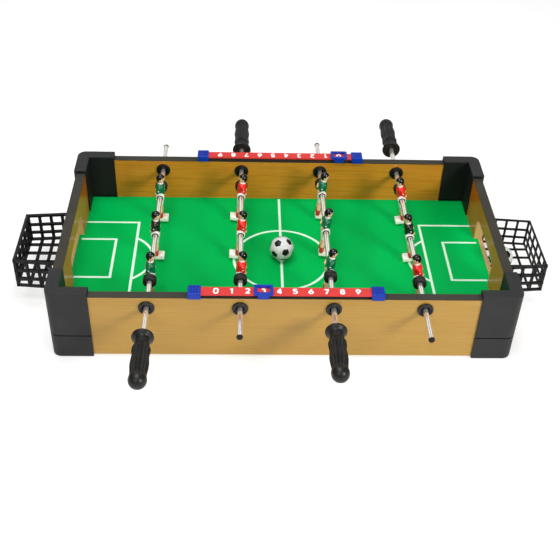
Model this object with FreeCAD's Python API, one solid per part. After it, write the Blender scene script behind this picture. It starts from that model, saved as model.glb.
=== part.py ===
import FreeCAD, Part

import math
import os

os.makedirs("parts", exist_ok=True)

V = FreeCAD.Vector
X_AXIS = V(1, 0, 0)
Y_AXIS = V(0, 1, 0)
Z_AXIS = V(0, 0, 1)

# --------------------------------------------------------------------------
# Driving dimensions, in millimetres
# --------------------------------------------------------------------------

# cabinet
CABINET_LENGTH = 510.0
CABINET_WIDTH = 279.0
CAP_TOP_Z = 90.5
WALL_TOP_Z = 85.3
WALL_BOTTOM_Z = 2.9
WALL_OUTER_X = 252.7
WALL_INNER_X = 241.8
WALL_OUTER_Y = 137.4
WALL_INNER_Y = 127.7
WALL_EDGE_CHAMFER = 5.0
BAND_THICKNESS = 0.8

# playing board, held in a groove around the walls
PITCH_TOP_Z = 29.2
PITCH_THICKNESS = 3.0
PITCH_HALF_X = 247.4
PITCH_HALF_Y = 132.6
GROOVE_SLACK = 0.2

# goal mouths in the end walls
MOUTH_HALF_WIDTH = 45.0
MOUTH_TOP_Z = 62.8
MOUTH_RADIUS = 8.0

# corner caps and feet
CORNER_RADIUS = 10.0
CORNER_ARM_X = 45.4
CORNER_ARM_Y = 44.5
CORNER_SKIN = 1.5
CORNER_SEAM_Z = 32.0
CORNER_SEAM_GAP = 0.2
CORNER_GROOVE = 1.0
CORNER_INNER_BOTTOM_Z = 29.7
CORNER_EDGE_FILLET = 1.0
CAP_ROOF = 2.0
CAP_END_HOLLOW = 6.0
CAP_END_CELLS = 4
CAP_END_RIB = 0.9
FOOT_EDGE_FILLET = 2.0
FOOT_LIP_TOP_Z = 15.0

# rods
ROD_X = (-148.3, -49.0, 51.2, 149.6)
ROD_Z = 71.4
ROD_RADIUS = 3.0
ROD_BORE_RADIUS = 2.2
ROD_BARE_END = 183.0
ROD_HANDLE_END = 217.0
RUNNING_CLEARANCE = 0.05
# position of each rod along its own axis, measured at the middle figure
ROD_OFFSET = (-1.3, 1.3, 7.9, -1.1)
# side on which each rod carries its handle: -1 near, +1 far
ROD_HANDLE_SIDE = (-1, 1, -1, 1)
# distance from the middle figure to the tip of the handle
HANDLE_TIP = (252.7, 246.5, 251.6, 255.1)
# way the figures face along X, and how far they lean that way
ROD_FACING = (1, -1, 1, -1)
ROD_LEAN_DEG = (1.5, -7.0, 6.0, 9.0)

# bushings
BUSHING_FLANGE_RADIUS = 8.65
BUSHING_FLANGE_THICKNESS = 2.5
BUSHING_SLEEVE_RADIUS = 4.9
BUSHING_SLEEVE_END = 1.6
BUSHING_HOLE_RADIUS = 5.0
BUSHING_RECESS_RADIUS = 6.6
BUSHING_RECESS_DEPTH = 1.0

# figures
FIGURE_PITCH = 76.5
FIGURE_NAMES = ("near", "mid", "far")
HUB_RADIUS = 5.0
HUB_HALF_LENGTH = 10.5
PIN_HEAD_RADIUS = 1.6
PIN_HEAD_THICKNESS = 0.9
PIN_SHANK_RADIUS = 0.8
PIN_SEAT = 4.3

# bumper rings, one outside each end figure
BUMPER_RADIUS = 7.6
BUMPER_START = 87.3
BUMPER_LENGTH = 8.3

# end plugs
PLUG_RADIUS = 3.4
PLUG_HEAD = 2.2
PLUG_DEPTH = 6.0

# handles; distances run from the tip towards the rod
HANDLE_LENGTH = 72.5
HANDLE_BALL_RADIUS = 9.6
HANDLE_BORE_END = 28.0
HANDLE_FLUTES = 18
HANDLE_FLUTE_RADIUS = 1.2
HANDLE_FLUTE_CENTRE = 9.6

# ball catchers
BASKET_OUTER_X = 308.0
BASKET_HALF_WIDTH = 44.5
BASKET_WALL_HALF_WIDTH = 49.5
BASKET_TOP_Z = 59.0
BASKET_BOTTOM_Z = 21.2
BASKET_PANEL = 2.0
BASKET_BAR = 2.2
BASKET_RIM = 3.0
BASKET_CELLS_X = 4
BASKET_BARS_Y = (-33.0, -16.5, 0.0, 16.5, 33.0)
BASKET_CELLS_Z = 3
BASKET_TAB = 8.0
BASKET_TAB_THICKNESS = 1.8

# score counters, centred over the long walls
RAIL_Y = 133.0
RAIL_HALF_WIDTH = 6.2
RAIL_BOTTOM_Z = 90.2
RAIL_TOP_Z = 91.8
RAIL_HALF_LENGTH = 93.0
BRACKET_INNER_X = 90.0
BRACKET_OUTER_X = 105.5
BRACKET_HALF_WIDTH = 7.6
BRACKET_TOP_Z = 94.2
SLIDER_HALF_LENGTH = 10.35
SLIDER_HALF_WIDTH = 8.2
SLIDER_TOP_Z = 94.5
SLIDER_LEG_HALF = 6.2
SLIDER_LEG_BOTTOM_Z = 87.2
SLIDER_CLEARANCE = 0.1
SLIDER_WINDOW_X = 6.7
SLIDER_WINDOW_Y = 4.8
DIGIT_PITCH = 16.75
DIGIT_START = -74.6

# balls
BALL_RADIUS = 14.25
BALL_PITCH_CENTRE = (0.0, 3.0)
BALL_SPARE_CENTRE = (264.9, -3.0)
BALL_REST_GAP = 0.3

# wood screws
SCREW_HEAD_RADIUS = 2.6
SCREW_HEAD_THICKNESS = 1.6
SCREW_SHANK_RADIUS = 1.2
SCREW_LENGTH = 10.0

FOOT_SCREWS = ((222.0, 132.5), (247.2, 108.0))
BRACKET_SCREW_X = 98.5
BRACKET_SCREW_SEAT_Z = 88.6
BASKET_SCREW_Y = 53.5
BASKET_SCREW_Z = (33.0, 51.0)


# --------------------------------------------------------------------------
# Helpers
# --------------------------------------------------------------------------

def box(x0, x1, y0, y1, z0, z1):
    return Part.makeBox(x1 - x0, y1 - y0, z1 - z0, V(x0, y0, z0))


def cylinder(radius, start, end):
    a = V(*start)
    b = V(*end)
    return Part.makeCylinder(radius, (b - a).Length, a, b - a)


def sphere(radius, centre):
    return Part.makeSphere(radius, V(*centre))


def capsule(radius, start, end):
    return sphere(radius, start).multiFuse([cylinder(radius, start, end), sphere(radius, end)])


def tube(outer, inner, start, end):
    return cylinder(outer, start, end).cut(cylinder(inner, start, end))


def mirror_x(shape):
    return shape.mirror(V(0, 0, 0), X_AXIS)


def mirror_y(shape):
    return shape.mirror(V(0, 0, 0), Y_AXIS)


def to_corner(shape, side_x, side_y):
    moved = shape if side_x > 0 else mirror_x(shape)
    return moved if side_y > 0 else mirror_y(moved)


def prism(points, z0, z1):
    wire = Part.makePolygon([V(x, y, z0) for x, y in points] + [V(points[0][0], points[0][1], z0)])
    return Part.Face(wire).extrude(V(0, 0, z1 - z0))


def rounded_rectangle(half_x, half_y, radius, z):
    """Closed wire of a rectangle with rounded corners, centred on the Z axis."""
    edges = []
    corners = ((1, 1, 0), (-1, 1, 90), (-1, -1, 180), (1, -1, 270))
    for side_x, side_y, start in corners:
        centre = V(side_x * (half_x - radius), side_y * (half_y - radius), z)
        edges.append(Part.makeCircle(radius, centre, Z_AXIS, start, start + 90))
    loops = []
    for index, arc in enumerate(edges):
        following = edges[(index + 1) % 4]
        loops.append(arc)
        loops.append(Part.makeLine(arc.Vertexes[-1].Point, following.Vertexes[0].Point))
    return Part.Wire(loops)


def loft(sections):
    """Solid through (z, half_x, half_y, corner radius) sections."""
    wires = [rounded_rectangle(half_x, half_y, radius, z) for z, half_x, half_y, radius in sections]
    return Part.makeLoft(wires, True, False)


def edges_at_height(shape, z):
    found = []
    for edge in shape.Edges:
        bounds = edge.BoundBox
        if abs(bounds.ZMin - z) < 1e-4 and abs(bounds.ZMax - z) < 1e-4:
            found.append(edge)
    return found


def vertical_edges(shape):
    found = []
    for edge in shape.Edges:
        bounds = edge.BoundBox
        if bounds.XLength < 1e-4 and bounds.YLength < 1e-4 and bounds.ZLength > 1e-3:
            found.append(edge)
    return found


def export(name, shapes):
    group = shapes if isinstance(shapes, list) else [shapes]
    solids = [solid for shape in group for solid in shape.Solids]
    result = solids[0] if len(solids) == 1 else Part.makeCompound(solids)
    result.exportStep("parts/%s.step" % name)


# --------------------------------------------------------------------------
# Wood screws and the holes they sit in
# --------------------------------------------------------------------------

def screw(seat, direction):
    """Pan-head screw: the head's underside lies at seat, the shank runs along direction."""
    axis = V(*direction)
    base = V(*seat)
    head = Part.makeCylinder(SCREW_HEAD_RADIUS, SCREW_HEAD_THICKNESS, base, axis * -1)
    head = head.makeFillet(0.7, [edge for edge in head.Edges
                                 if abs((edge.CenterOfMass - base).dot(axis) + SCREW_HEAD_THICKNESS) < 1e-3])
    shank = Part.makeCylinder(SCREW_SHANK_RADIUS, SCREW_LENGTH - 2.0, base, axis)
    point = Part.makeCone(SCREW_SHANK_RADIUS, 0.2, 2.0, base + axis * (SCREW_LENGTH - 2.0), axis)
    slot_length = 3.2
    slot = Part.makeBox(slot_length, 0.6, 0.8, V(-slot_length / 2, -0.3, -0.8))
    cross = slot.fuse(slot.rotated(V(0, 0, 0), Z_AXIS, 90))
    cross.Placement = FreeCAD.Placement(base - axis * SCREW_HEAD_THICKNESS,
                                        FreeCAD.Rotation(Z_AXIS, axis * -1))
    return head.multiFuse([shank, point]).removeSplitter().cut(cross)


def pilot(seat, direction):
    return Part.makeCylinder(SCREW_SHANK_RADIUS, SCREW_LENGTH + 0.2, V(*seat), V(*direction))


def screw_seats():
    seats = []
    foot_seat_z = 0.1 + SCREW_HEAD_THICKNESS
    for side_x in (-1, 1):
        for side_y in (-1, 1):
            for x, y in FOOT_SCREWS:
                seats.append(((side_x * x, side_y * y, foot_seat_z), (0, 0, 1)))
            for z in BASKET_SCREW_Z:
                seat_x = side_x * (WALL_OUTER_X + BASKET_TAB_THICKNESS)
                seats.append(((seat_x, side_y * BASKET_SCREW_Y, z), (-side_x, 0, 0)))
            seats.append(((side_x * BRACKET_SCREW_X, side_y * RAIL_Y, BRACKET_SCREW_SEAT_Z), (0, 0, -1)))
    return seats


SCREW_SEATS = screw_seats()


# --------------------------------------------------------------------------
# Walls, edge bands and playing board
# --------------------------------------------------------------------------

def rod_holes(radius):
    reach = WALL_OUTER_Y + 20.0
    return [cylinder(radius, (x, -reach, ROD_Z), (x, reach, ROD_Z)) for x in ROD_X]


def board_groove():
    return box(-PITCH_HALF_X - GROOVE_SLACK, PITCH_HALF_X + GROOVE_SLACK,
               -PITCH_HALF_Y - GROOVE_SLACK, PITCH_HALF_Y + GROOVE_SLACK,
               PITCH_TOP_Z - PITCH_THICKNESS - 0.05, PITCH_TOP_Z)


def long_wall(z0, z1):
    c = WALL_EDGE_CHAMFER
    points = [(-WALL_OUTER_X, WALL_INNER_Y), (WALL_OUTER_X, WALL_INNER_Y),
              (WALL_OUTER_X, WALL_OUTER_Y - c), (WALL_OUTER_X - c, WALL_OUTER_Y),
              (-WALL_OUTER_X + c, WALL_OUTER_Y), (-WALL_OUTER_X, WALL_OUTER_Y - c)]
    return prism(points, z0, z1)


def end_wall(z0, z1):
    return box(WALL_INNER_X, WALL_OUTER_X, -WALL_INNER_Y, WALL_INNER_Y, z0, z1)


def goal_mouth():
    half = MOUTH_HALF_WIDTH
    r = MOUTH_RADIUS
    x0 = WALL_INNER_X - 1.0
    depth = WALL_OUTER_X - WALL_INNER_X + 2.0
    body = box(x0, x0 + depth, -half, half, PITCH_TOP_Z, MOUTH_TOP_Z - r)
    lintel = box(x0, x0 + depth, -half + r, half - r, PITCH_TOP_Z, MOUTH_TOP_Z)
    rounds = [cylinder(r, (x0, side * (half - r), MOUTH_TOP_Z - r),
                       (x0 + depth, side * (half - r), MOUTH_TOP_Z - r)) for side in (-1, 1)]
    return body.multiFuse([lintel] + rounds)


def make_walls():
    body_top = WALL_TOP_Z - BAND_THICKNESS
    pilots = [pilot(seat, direction) for seat, direction in SCREW_SEATS]
    cutters = rod_holes(BUSHING_HOLE_RADIUS) + [board_groove()] + pilots
    far = long_wall(WALL_BOTTOM_Z, body_top)
    right = end_wall(WALL_BOTTOM_Z, body_top).cut(goal_mouth())
    walls = {
        "wall_far": far,
        "wall_near": mirror_y(far),
        "wall_right": right,
        "wall_left": mirror_x(right),
    }
    for name, wall in walls.items():
        export(name, wall.cut(cutters))

    long_band = long_wall(body_top, WALL_TOP_Z)
    end_band = end_wall(body_top, WALL_TOP_Z)
    bands = [long_band, mirror_y(long_band), end_band, mirror_x(end_band)]
    export("wall_top_bands", [band.cut(pilots) for band in bands])


def make_pitch():
    board = box(-PITCH_HALF_X, PITCH_HALF_X, -PITCH_HALF_Y, PITCH_HALF_Y,
                PITCH_TOP_Z - PITCH_THICKNESS, PITCH_TOP_Z)
    export("pitch_board", board)


# --------------------------------------------------------------------------
# Corner caps and feet
# --------------------------------------------------------------------------

def corner_blank(z0, z1, inset=0.0):
    """L-shaped prism that wraps the wall corner, its outer vertical edge rounded."""
    outer_x = CABINET_LENGTH / 2 - inset
    outer_y = CABINET_WIDTH / 2 - inset
    end_x = CABINET_LENGTH / 2 - CORNER_ARM_X
    end_y = CABINET_WIDTH / 2 - CORNER_ARM_Y
    inner_x = WALL_INNER_X - CORNER_SKIN
    inner_y = WALL_INNER_Y - CORNER_SKIN
    points = [(end_x, outer_y), (outer_x, outer_y), (outer_x, end_y),
              (inner_x, end_y), (inner_x, inner_y), (end_x, inner_y)]
    blank = prism(points, z0, z1)
    corner = [edge for edge in vertical_edges(blank)
              if abs(edge.Vertexes[0].X - outer_x) < 1e-4 and abs(edge.Vertexes[0].Y - outer_y) < 1e-4]
    return blank.makeFillet(CORNER_RADIUS - inset, corner)


def wall_pocket(z0, z1):
    return long_wall(z0, z1).fuse(end_wall(z0, z1))


def end_hollows():
    """Hollows in the open ends of the cap's two arms, above the wall, divided by ribs."""
    end_x = CABINET_LENGTH / 2 - CORNER_ARM_X
    end_y = CABINET_WIDTH / 2 - CORNER_ARM_Y
    roof = CAP_TOP_Z - CAP_ROOF
    cells = []
    for i in range(CAP_END_CELLS):
        step_x = (WALL_OUTER_X - WALL_INNER_X) / CAP_END_CELLS
        step_y = (WALL_OUTER_Y - WALL_INNER_Y) / CAP_END_CELLS
        x0 = WALL_INNER_X + step_x * i + CAP_END_RIB / 2
        y0 = WALL_INNER_Y + step_y * i + CAP_END_RIB / 2
        cells.append(box(x0, x0 + step_x - CAP_END_RIB, end_y - 1, end_y + CAP_END_HOLLOW, WALL_TOP_Z, roof))
        cells.append(box(end_x - 1, end_x + CAP_END_HOLLOW, y0, y0 + step_y - CAP_END_RIB, WALL_TOP_Z, roof))
    return cells


def make_cap():
    blank = corner_blank(CORNER_INNER_BOTTOM_Z, CAP_TOP_Z)
    blank = blank.makeFillet(CORNER_EDGE_FILLET, edges_at_height(blank, CAP_TOP_Z))
    below_seam_x = box(WALL_INNER_X + 2.0, 300, 0, 200, 0, CORNER_SEAM_Z)
    below_seam_y = box(0, 300, WALL_INNER_Y + 2.0, 200, 0, CORNER_SEAM_Z)
    return blank.cut([wall_pocket(0, WALL_TOP_Z), below_seam_x, below_seam_y] + end_hollows())


def make_foot():
    """Foot under the corner; its top is stepped back to leave a groove below the cap."""
    blank = corner_blank(0, CORNER_SEAM_Z - CORNER_GROOVE)
    blank = blank.makeFillet(FOOT_EDGE_FILLET, edges_at_height(blank, 0))
    tongue = corner_blank(CORNER_SEAM_Z - CORNER_GROOVE - 1.0, CORNER_SEAM_Z - CORNER_SEAM_GAP, CORNER_GROOVE)
    inside = box(0, WALL_INNER_X, 0, WALL_INNER_Y, FOOT_LIP_TOP_Z, CORNER_SEAM_Z)
    shape = blank.fuse(tongue).removeSplitter()
    shape = shape.cut([wall_pocket(WALL_BOTTOM_Z, CORNER_SEAM_Z), inside])
    for x, y in FOOT_SCREWS:
        seat_z = 0.1 + SCREW_HEAD_THICKNESS
        shape = shape.cut([cylinder(SCREW_HEAD_RADIUS + 0.2, (x, y, -1), (x, y, seat_z)),
                           cylinder(SCREW_SHANK_RADIUS + 0.1, (x, y, 0), (x, y, WALL_BOTTOM_Z + 1))])
    return shape


def make_corners():
    cap = make_cap()
    foot = make_foot()
    for side_x, name_x in ((-1, "left"), (1, "right")):
        for side_y, name_y in ((-1, "near"), (1, "far")):
            export("cap_%s_%s" % (name_y, name_x), to_corner(cap, side_x, side_y))
            export("foot_%s_%s" % (name_y, name_x), to_corner(foot, side_x, side_y))


# --------------------------------------------------------------------------
# Rod bushings
# --------------------------------------------------------------------------

def bushing_recess(face_y, direction, x):
    """Ring-shaped groove sunk into a flange face, around the hub."""
    return tube(BUSHING_RECESS_RADIUS, BUSHING_SLEEVE_RADIUS, (x, face_y, ROD_Z),
                (x, face_y + direction * BUSHING_RECESS_DEPTH, ROD_Z))


def rounded_disc(radius, x, start_y, end_y, round_y, fillet):
    disc = cylinder(radius, (x, start_y, ROD_Z), (x, end_y, ROD_Z))
    rim = [edge for edge in disc.Edges
           if abs(edge.BoundBox.YMin - round_y) < 1e-4 and abs(edge.BoundBox.YMax - round_y) < 1e-4]
    return disc.makeFillet(fillet, rim)


def make_bushings():
    inner_face = WALL_INNER_Y - BUSHING_FLANGE_THICKNESS
    outer_face = WALL_OUTER_Y + BUSHING_FLANGE_THICKNESS
    sleeve_end = WALL_OUTER_Y + BUSHING_SLEEVE_END
    bore_radius = ROD_RADIUS + RUNNING_CLEARANCE
    sleeves = []
    rings = []
    for x in ROD_X:
        flange = rounded_disc(BUSHING_FLANGE_RADIUS, x, inner_face, WALL_INNER_Y, inner_face, 1.0)
        flange = flange.cut(bushing_recess(inner_face, 1, x))
        sleeve = cylinder(BUSHING_SLEEVE_RADIUS, (x, inner_face, ROD_Z), (x, sleeve_end, ROD_Z))
        bore = cylinder(bore_radius, (x, inner_face - 1, ROD_Z), (x, outer_face + 1, ROD_Z))
        bushing = flange.fuse(sleeve).removeSplitter().cut(bore)
        ring = rounded_disc(BUSHING_FLANGE_RADIUS, x, WALL_OUTER_Y, outer_face, outer_face, 1.0)
        recess = cylinder(BUSHING_RECESS_RADIUS, (x, outer_face - BUSHING_RECESS_DEPTH, ROD_Z),
                          (x, outer_face + 1, ROD_Z))
        hole = cylinder(BUSHING_SLEEVE_RADIUS, (x, WALL_OUTER_Y - 1, ROD_Z), (x, outer_face + 1, ROD_Z))
        ring = ring.cut([recess, hole])
        sleeves += [bushing, mirror_y(bushing)]
        rings += [ring, mirror_y(ring)]
    export("rod_bushings", sleeves)
    export("bushing_rings", rings)


# --------------------------------------------------------------------------
# Figures
# --------------------------------------------------------------------------

def make_figure():
    """One figure facing +X, its rod axis along Y through the origin."""
    hub = cylinder(HUB_RADIUS, (0, -HUB_HALF_LENGTH, 0), (0, HUB_HALF_LENGTH, 0))
    shorts = loft([(-12.0, 4.3, 7.4, 2.6), (-5.0, 5.0, 8.2, 2.8), (2.5, 5.0, 7.8, 2.8)])
    torso = loft([(0.5, 5.2, 7.4, 2.8), (8.0, 5.8, 7.8, 3.2), (12.6, 5.0, 8.2, 3.2), (15.6, 3.1, 5.0, 2.4)])
    neck = cylinder(2.6, (0.2, 0, 14.0), (0.2, 0, 19.0))
    collar = cylinder(3.5, (0.2, 0, 14.8), (0.2, 0, 16.6))
    pieces = [shorts, torso, neck, collar]

    head = sphere(5.0, (0, 0, 0))
    stretch = FreeCAD.Matrix()
    stretch.scale(1.0, 0.9, 1.16)
    head = head.transformGeometry(stretch)
    head.translate(V(0.3, 0, 21.6))
    pieces.append(head)

    for side in (-1, 1):
        shoulder = (-0.8, side * 7.8, 11.6)
        elbow = (-3.4, side * 8.0, 5.6)
        hand = (-4.4, side * 6.8, -0.6)
        pieces.append(capsule(2.3, shoulder, elbow))
        pieces.append(capsule(2.0, elbow, hand))
        leg = Part.makeCone(2.4, 3.4, 25.0, V(0, side * 3.5, -36.0), Z_AXIS)
        pieces.append(leg)

    boot = box(-4.6, 7.0, -5.4, 5.4, -39.2, -33.4)
    boot = boot.makeFillet(1.6, vertical_edges(boot))
    boot = boot.makeFillet(1.2, edges_at_height(boot, -33.4))
    pieces.append(boot)

    figure = hub.multiFuse(pieces).removeSplitter()
    bore = cylinder(ROD_RADIUS, (0, -20, 0), (0, 20, 0))
    pin_hole = cylinder(PIN_SHANK_RADIUS + 0.05, (-10, 0, 0), (0, 0, 0))
    pin_recess = cylinder(PIN_HEAD_RADIUS + 0.2, (-10, 0, 0), (-PIN_SEAT, 0, 0))
    return figure.cut([bore, pin_hole, pin_recess])


def make_pin():
    head = cylinder(PIN_HEAD_RADIUS, (-PIN_SEAT - PIN_HEAD_THICKNESS, 0, 0), (-PIN_SEAT, 0, 0))
    shank = cylinder(PIN_SHANK_RADIUS, (-PIN_SEAT, 0, 0), (-ROD_BORE_RADIUS + 0.7, 0, 0))
    return head.fuse(shank).removeSplitter()


def place_on_rod(shape, index, along):
    """Turn a piece to its rod's facing and lean, then move it to its place."""
    facing = ROD_FACING[index]
    moved = shape.copy()
    if facing < 0:
        moved.rotate(V(0, 0, 0), Z_AXIS, 180)
    moved.rotate(V(0, 0, 0), Y_AXIS, facing * ROD_LEAN_DEG[index])
    moved.translate(V(ROD_X[index], along, ROD_Z))
    return moved


# --------------------------------------------------------------------------
# Handles
# --------------------------------------------------------------------------

def make_handle():
    """Handle along +Y with its tip at the origin and its flange towards +Y."""
    ball = HANDLE_BALL_RADIUS
    join = 14.0
    join_radius = math.sqrt(ball ** 2 - (join - ball) ** 2)
    wave = [(join, join_radius), (17.5, 8.5), (23.0, 9.2), (30.2, 9.9), (37.0, 9.4), (43.8, 8.9),
            (47.6, 9.4), (51.7, 9.9), (55.6, 9.0), (60.0, 7.6), (66.4, 7.6)]
    spline = Part.BSplineCurve()
    spline.interpolate([V(radius, along, 0) for along, radius in wave])
    mid = ball * math.sqrt(0.5)
    dome = Part.Arc(V(0, 0, 0), V(mid, ball - mid, 0), V(join_radius, join, 0))
    rim = [V(7.6, 66.4, 0), V(10.4, 68.4, 0), V(11.5, 69.0, 0), V(11.85, 70.0, 0),
           V(11.7, 71.4, 0), V(10.8, HANDLE_LENGTH, 0), V(0, HANDLE_LENGTH, 0), V(0, 0, 0)]
    edges = [dome.toShape(), spline.toShape()]
    edges += [Part.makeLine(a, b) for a, b in zip(rim, rim[1:])]
    body = Part.Face(Part.Wire(edges)).revolve(V(0, 0, 0), Y_AXIS, 360)
    flute = capsule(HANDLE_FLUTE_RADIUS, (HANDLE_FLUTE_CENTRE, 16.0, 0), (HANDLE_FLUTE_CENTRE, 58.0, 0))
    flutes = [flute.rotated(V(0, 0, 0), Y_AXIS, 360.0 * i / HANDLE_FLUTES) for i in range(HANDLE_FLUTES)]
    bore = cylinder(ROD_RADIUS, (0, HANDLE_BORE_END, 0), (0, HANDLE_LENGTH + 1, 0))
    return body.cut(flutes).cut(bore)


# --------------------------------------------------------------------------
# Rod assemblies
# --------------------------------------------------------------------------

def make_bumper(start):
    ring = cylinder(BUMPER_RADIUS, (0, start, 0), (0, start + BUMPER_LENGTH, 0))
    ring = ring.makeFillet(1.1, [edge for edge in ring.Edges if edge.BoundBox.YLength < 1e-4])
    return ring.cut(cylinder(ROD_RADIUS + RUNNING_CLEARANCE, (0, start - 1, 0),
                             (0, start + BUMPER_LENGTH + 1, 0)))


def make_plug(side):
    """End plug for the bare end of the rod, on the side away from the handle."""
    head = cylinder(PLUG_RADIUS, (0, side * ROD_BARE_END, 0), (0, side * (ROD_BARE_END + PLUG_HEAD), 0))
    outer = [edge for edge in head.Edges if abs(abs(edge.CenterOfMass.y) - ROD_BARE_END - PLUG_HEAD) < 1e-3]
    head = head.makeFillet(1.2, outer)
    stem = cylinder(ROD_BORE_RADIUS, (0, side * (ROD_BARE_END - PLUG_DEPTH), 0), (0, side * ROD_BARE_END, 0))
    return head.fuse(stem).removeSplitter()


def make_rods():
    figure = make_figure()
    pin = make_pin()
    handle = make_handle()
    bumper = make_bumper(BUMPER_START)
    for index, x in enumerate(ROD_X):
        number = index + 1
        side = ROD_HANDLE_SIDE[index]
        offset = ROD_OFFSET[index]
        to_rod = V(x, offset, ROD_Z)
        pin_holes = []
        pins = []
        for step, name in zip((-1, 0, 1), FIGURE_NAMES):
            along = offset + step * FIGURE_PITCH
            export("player_%d_%s" % (number, name), place_on_rod(figure, index, along))
            pins.append(place_on_rod(pin, index, along))
            hole = cylinder(PIN_SHANK_RADIUS + 0.05, (-ROD_RADIUS - 1, 0, 0), (0, 0, 0))
            pin_holes.append(place_on_rod(hole, index, along))
        export("player_pins_%d" % number, pins)

        shaft = tube(ROD_RADIUS, ROD_BORE_RADIUS, (0, side * ROD_HANDLE_END, 0), (0, -side * ROD_BARE_END, 0))
        export("rod_%d" % number, shaft.translated(to_rod).cut(pin_holes))
        export("bumpers_%d" % number, [bumper.translated(to_rod), mirror_y(bumper).translated(to_rod)])
        export("end_plug_%d" % number, make_plug(-side).translated(to_rod))

        grip = handle if side < 0 else mirror_y(handle)
        tip = V(x, offset + side * HANDLE_TIP[index], ROD_Z)
        export("handle_%d" % number, grip.translated(tip))


# --------------------------------------------------------------------------
# Ball catchers
# --------------------------------------------------------------------------

def bar_centres(start, end, cells):
    step = (end - start) / cells
    return [start + step * i for i in range(cells + 1)]


def make_grille(along, across, size_along, size_across, thickness):
    """Flat lattice in the XY plane: bars centred on the given lines, trimmed to the outline."""
    half = BASKET_BAR / 2
    bars = []
    for a in along:
        low = max(a - half, 0)
        bars.append(box(low, min(low + BASKET_BAR, size_along), 0, size_across, 0, thickness))
    for b in across:
        low = max(b - half, 0)
        bars.append(box(0, size_along, low, min(low + BASKET_BAR, size_across), 0, thickness))
    return bars[0].multiFuse(bars[1:]).removeSplitter()


def stand_up(shape, corner, x_direction, y_direction):
    """Move a lattice so that its local X and Y run along the given row directions."""
    ex = V(*x_direction)
    ey = V(*y_direction)
    ez = ex.cross(ey)
    matrix = FreeCAD.Matrix(ex.x, ey.x, ez.x, corner[0], ex.y, ey.y, ez.y, corner[1],
                            ex.z, ey.z, ez.z, corner[2], 0, 0, 0, 1)
    moved = shape.copy()
    moved.Placement = FreeCAD.Placement(matrix)
    return moved


def make_basket():
    """Catcher on the right-hand end wall, as flat lattices that meet at their edges; it widens to the wall."""
    depth = BASKET_OUTER_X - WALL_OUTER_X
    height = BASKET_TOP_Z - BASKET_BOTTOM_Z
    spread = BASKET_WALL_HALF_WIDTH - BASKET_HALF_WIDTH
    length = math.hypot(depth, spread)
    slant = (depth / length, -spread / length, 0)
    wide = BASKET_WALL_HALF_WIDTH
    start = (WALL_OUTER_X, wide, BASKET_BOTTOM_Z)
    reach = box(WALL_OUTER_X, BASKET_OUTER_X, -wide, wide, 0, CAP_TOP_Z)
    x_lines = bar_centres(0, depth - BASKET_BAR / 2, BASKET_CELLS_X)
    z_lines = bar_centres(0, height - BASKET_RIM, BASKET_CELLS_Z)[:-1]
    rim_side = box(0, length + 1, height - BASKET_RIM, height, 0, BASKET_PANEL)
    side = make_grille(x_lines, z_lines, length + 1, height, BASKET_PANEL).fuse(rim_side).removeSplitter()
    far = stand_up(side, start, slant, (0, 0, 1)).common(reach)
    outside = stand_up(box(-5, length + 5, -1, height + 1, -20, BASKET_PANEL), start, slant, (0, 0, 1))
    limits = [outside, mirror_y(outside)]

    y_lines = [wide + y for y in BASKET_BARS_Y]
    rim_end = box(0, 2 * wide, height - BASKET_RIM, height, 0, BASKET_PANEL)
    end = make_grille(y_lines, z_lines, 2 * wide, height, BASKET_PANEL).fuse(rim_end).removeSplitter()
    end = stand_up(end, (BASKET_OUTER_X - BASKET_PANEL, -wide, BASKET_BOTTOM_Z), (0, 1, 0), (0, 0, 1))

    floor_depth = depth - BASKET_PANEL
    floor = make_grille([x for x in x_lines if x < floor_depth], y_lines,
                        floor_depth, 2 * wide, BASKET_PANEL - 0.2)
    floor = stand_up(floor, (WALL_OUTER_X, -wide, BASKET_BOTTOM_Z), (1, 0, 0), (0, 1, 0))

    tabs = []
    for side_y in (-1, 1):
        y_edge = sorted((side_y * wide, side_y * (wide + BASKET_TAB)))
        tab = box(WALL_OUTER_X, WALL_OUTER_X + BASKET_TAB_THICKNESS, y_edge[0], y_edge[1],
                  BASKET_BOTTOM_Z + 3.0, BASKET_TOP_Z)
        holes = [cylinder(SCREW_SHANK_RADIUS + 0.1, (WALL_OUTER_X - 1, side_y * BASKET_SCREW_Y, z),
                          (WALL_OUTER_X + 5, side_y * BASKET_SCREW_Y, z)) for z in BASKET_SCREW_Z]
        tabs.append(tab.cut(holes))
    return [far, mirror_y(far), end.cut(limits), floor.cut(limits)] + tabs


def make_baskets():
    right = make_basket()
    export("basket_right", right)
    export("basket_left", [mirror_x(shape) for shape in right])


# --------------------------------------------------------------------------
# Score counters
# --------------------------------------------------------------------------

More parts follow.
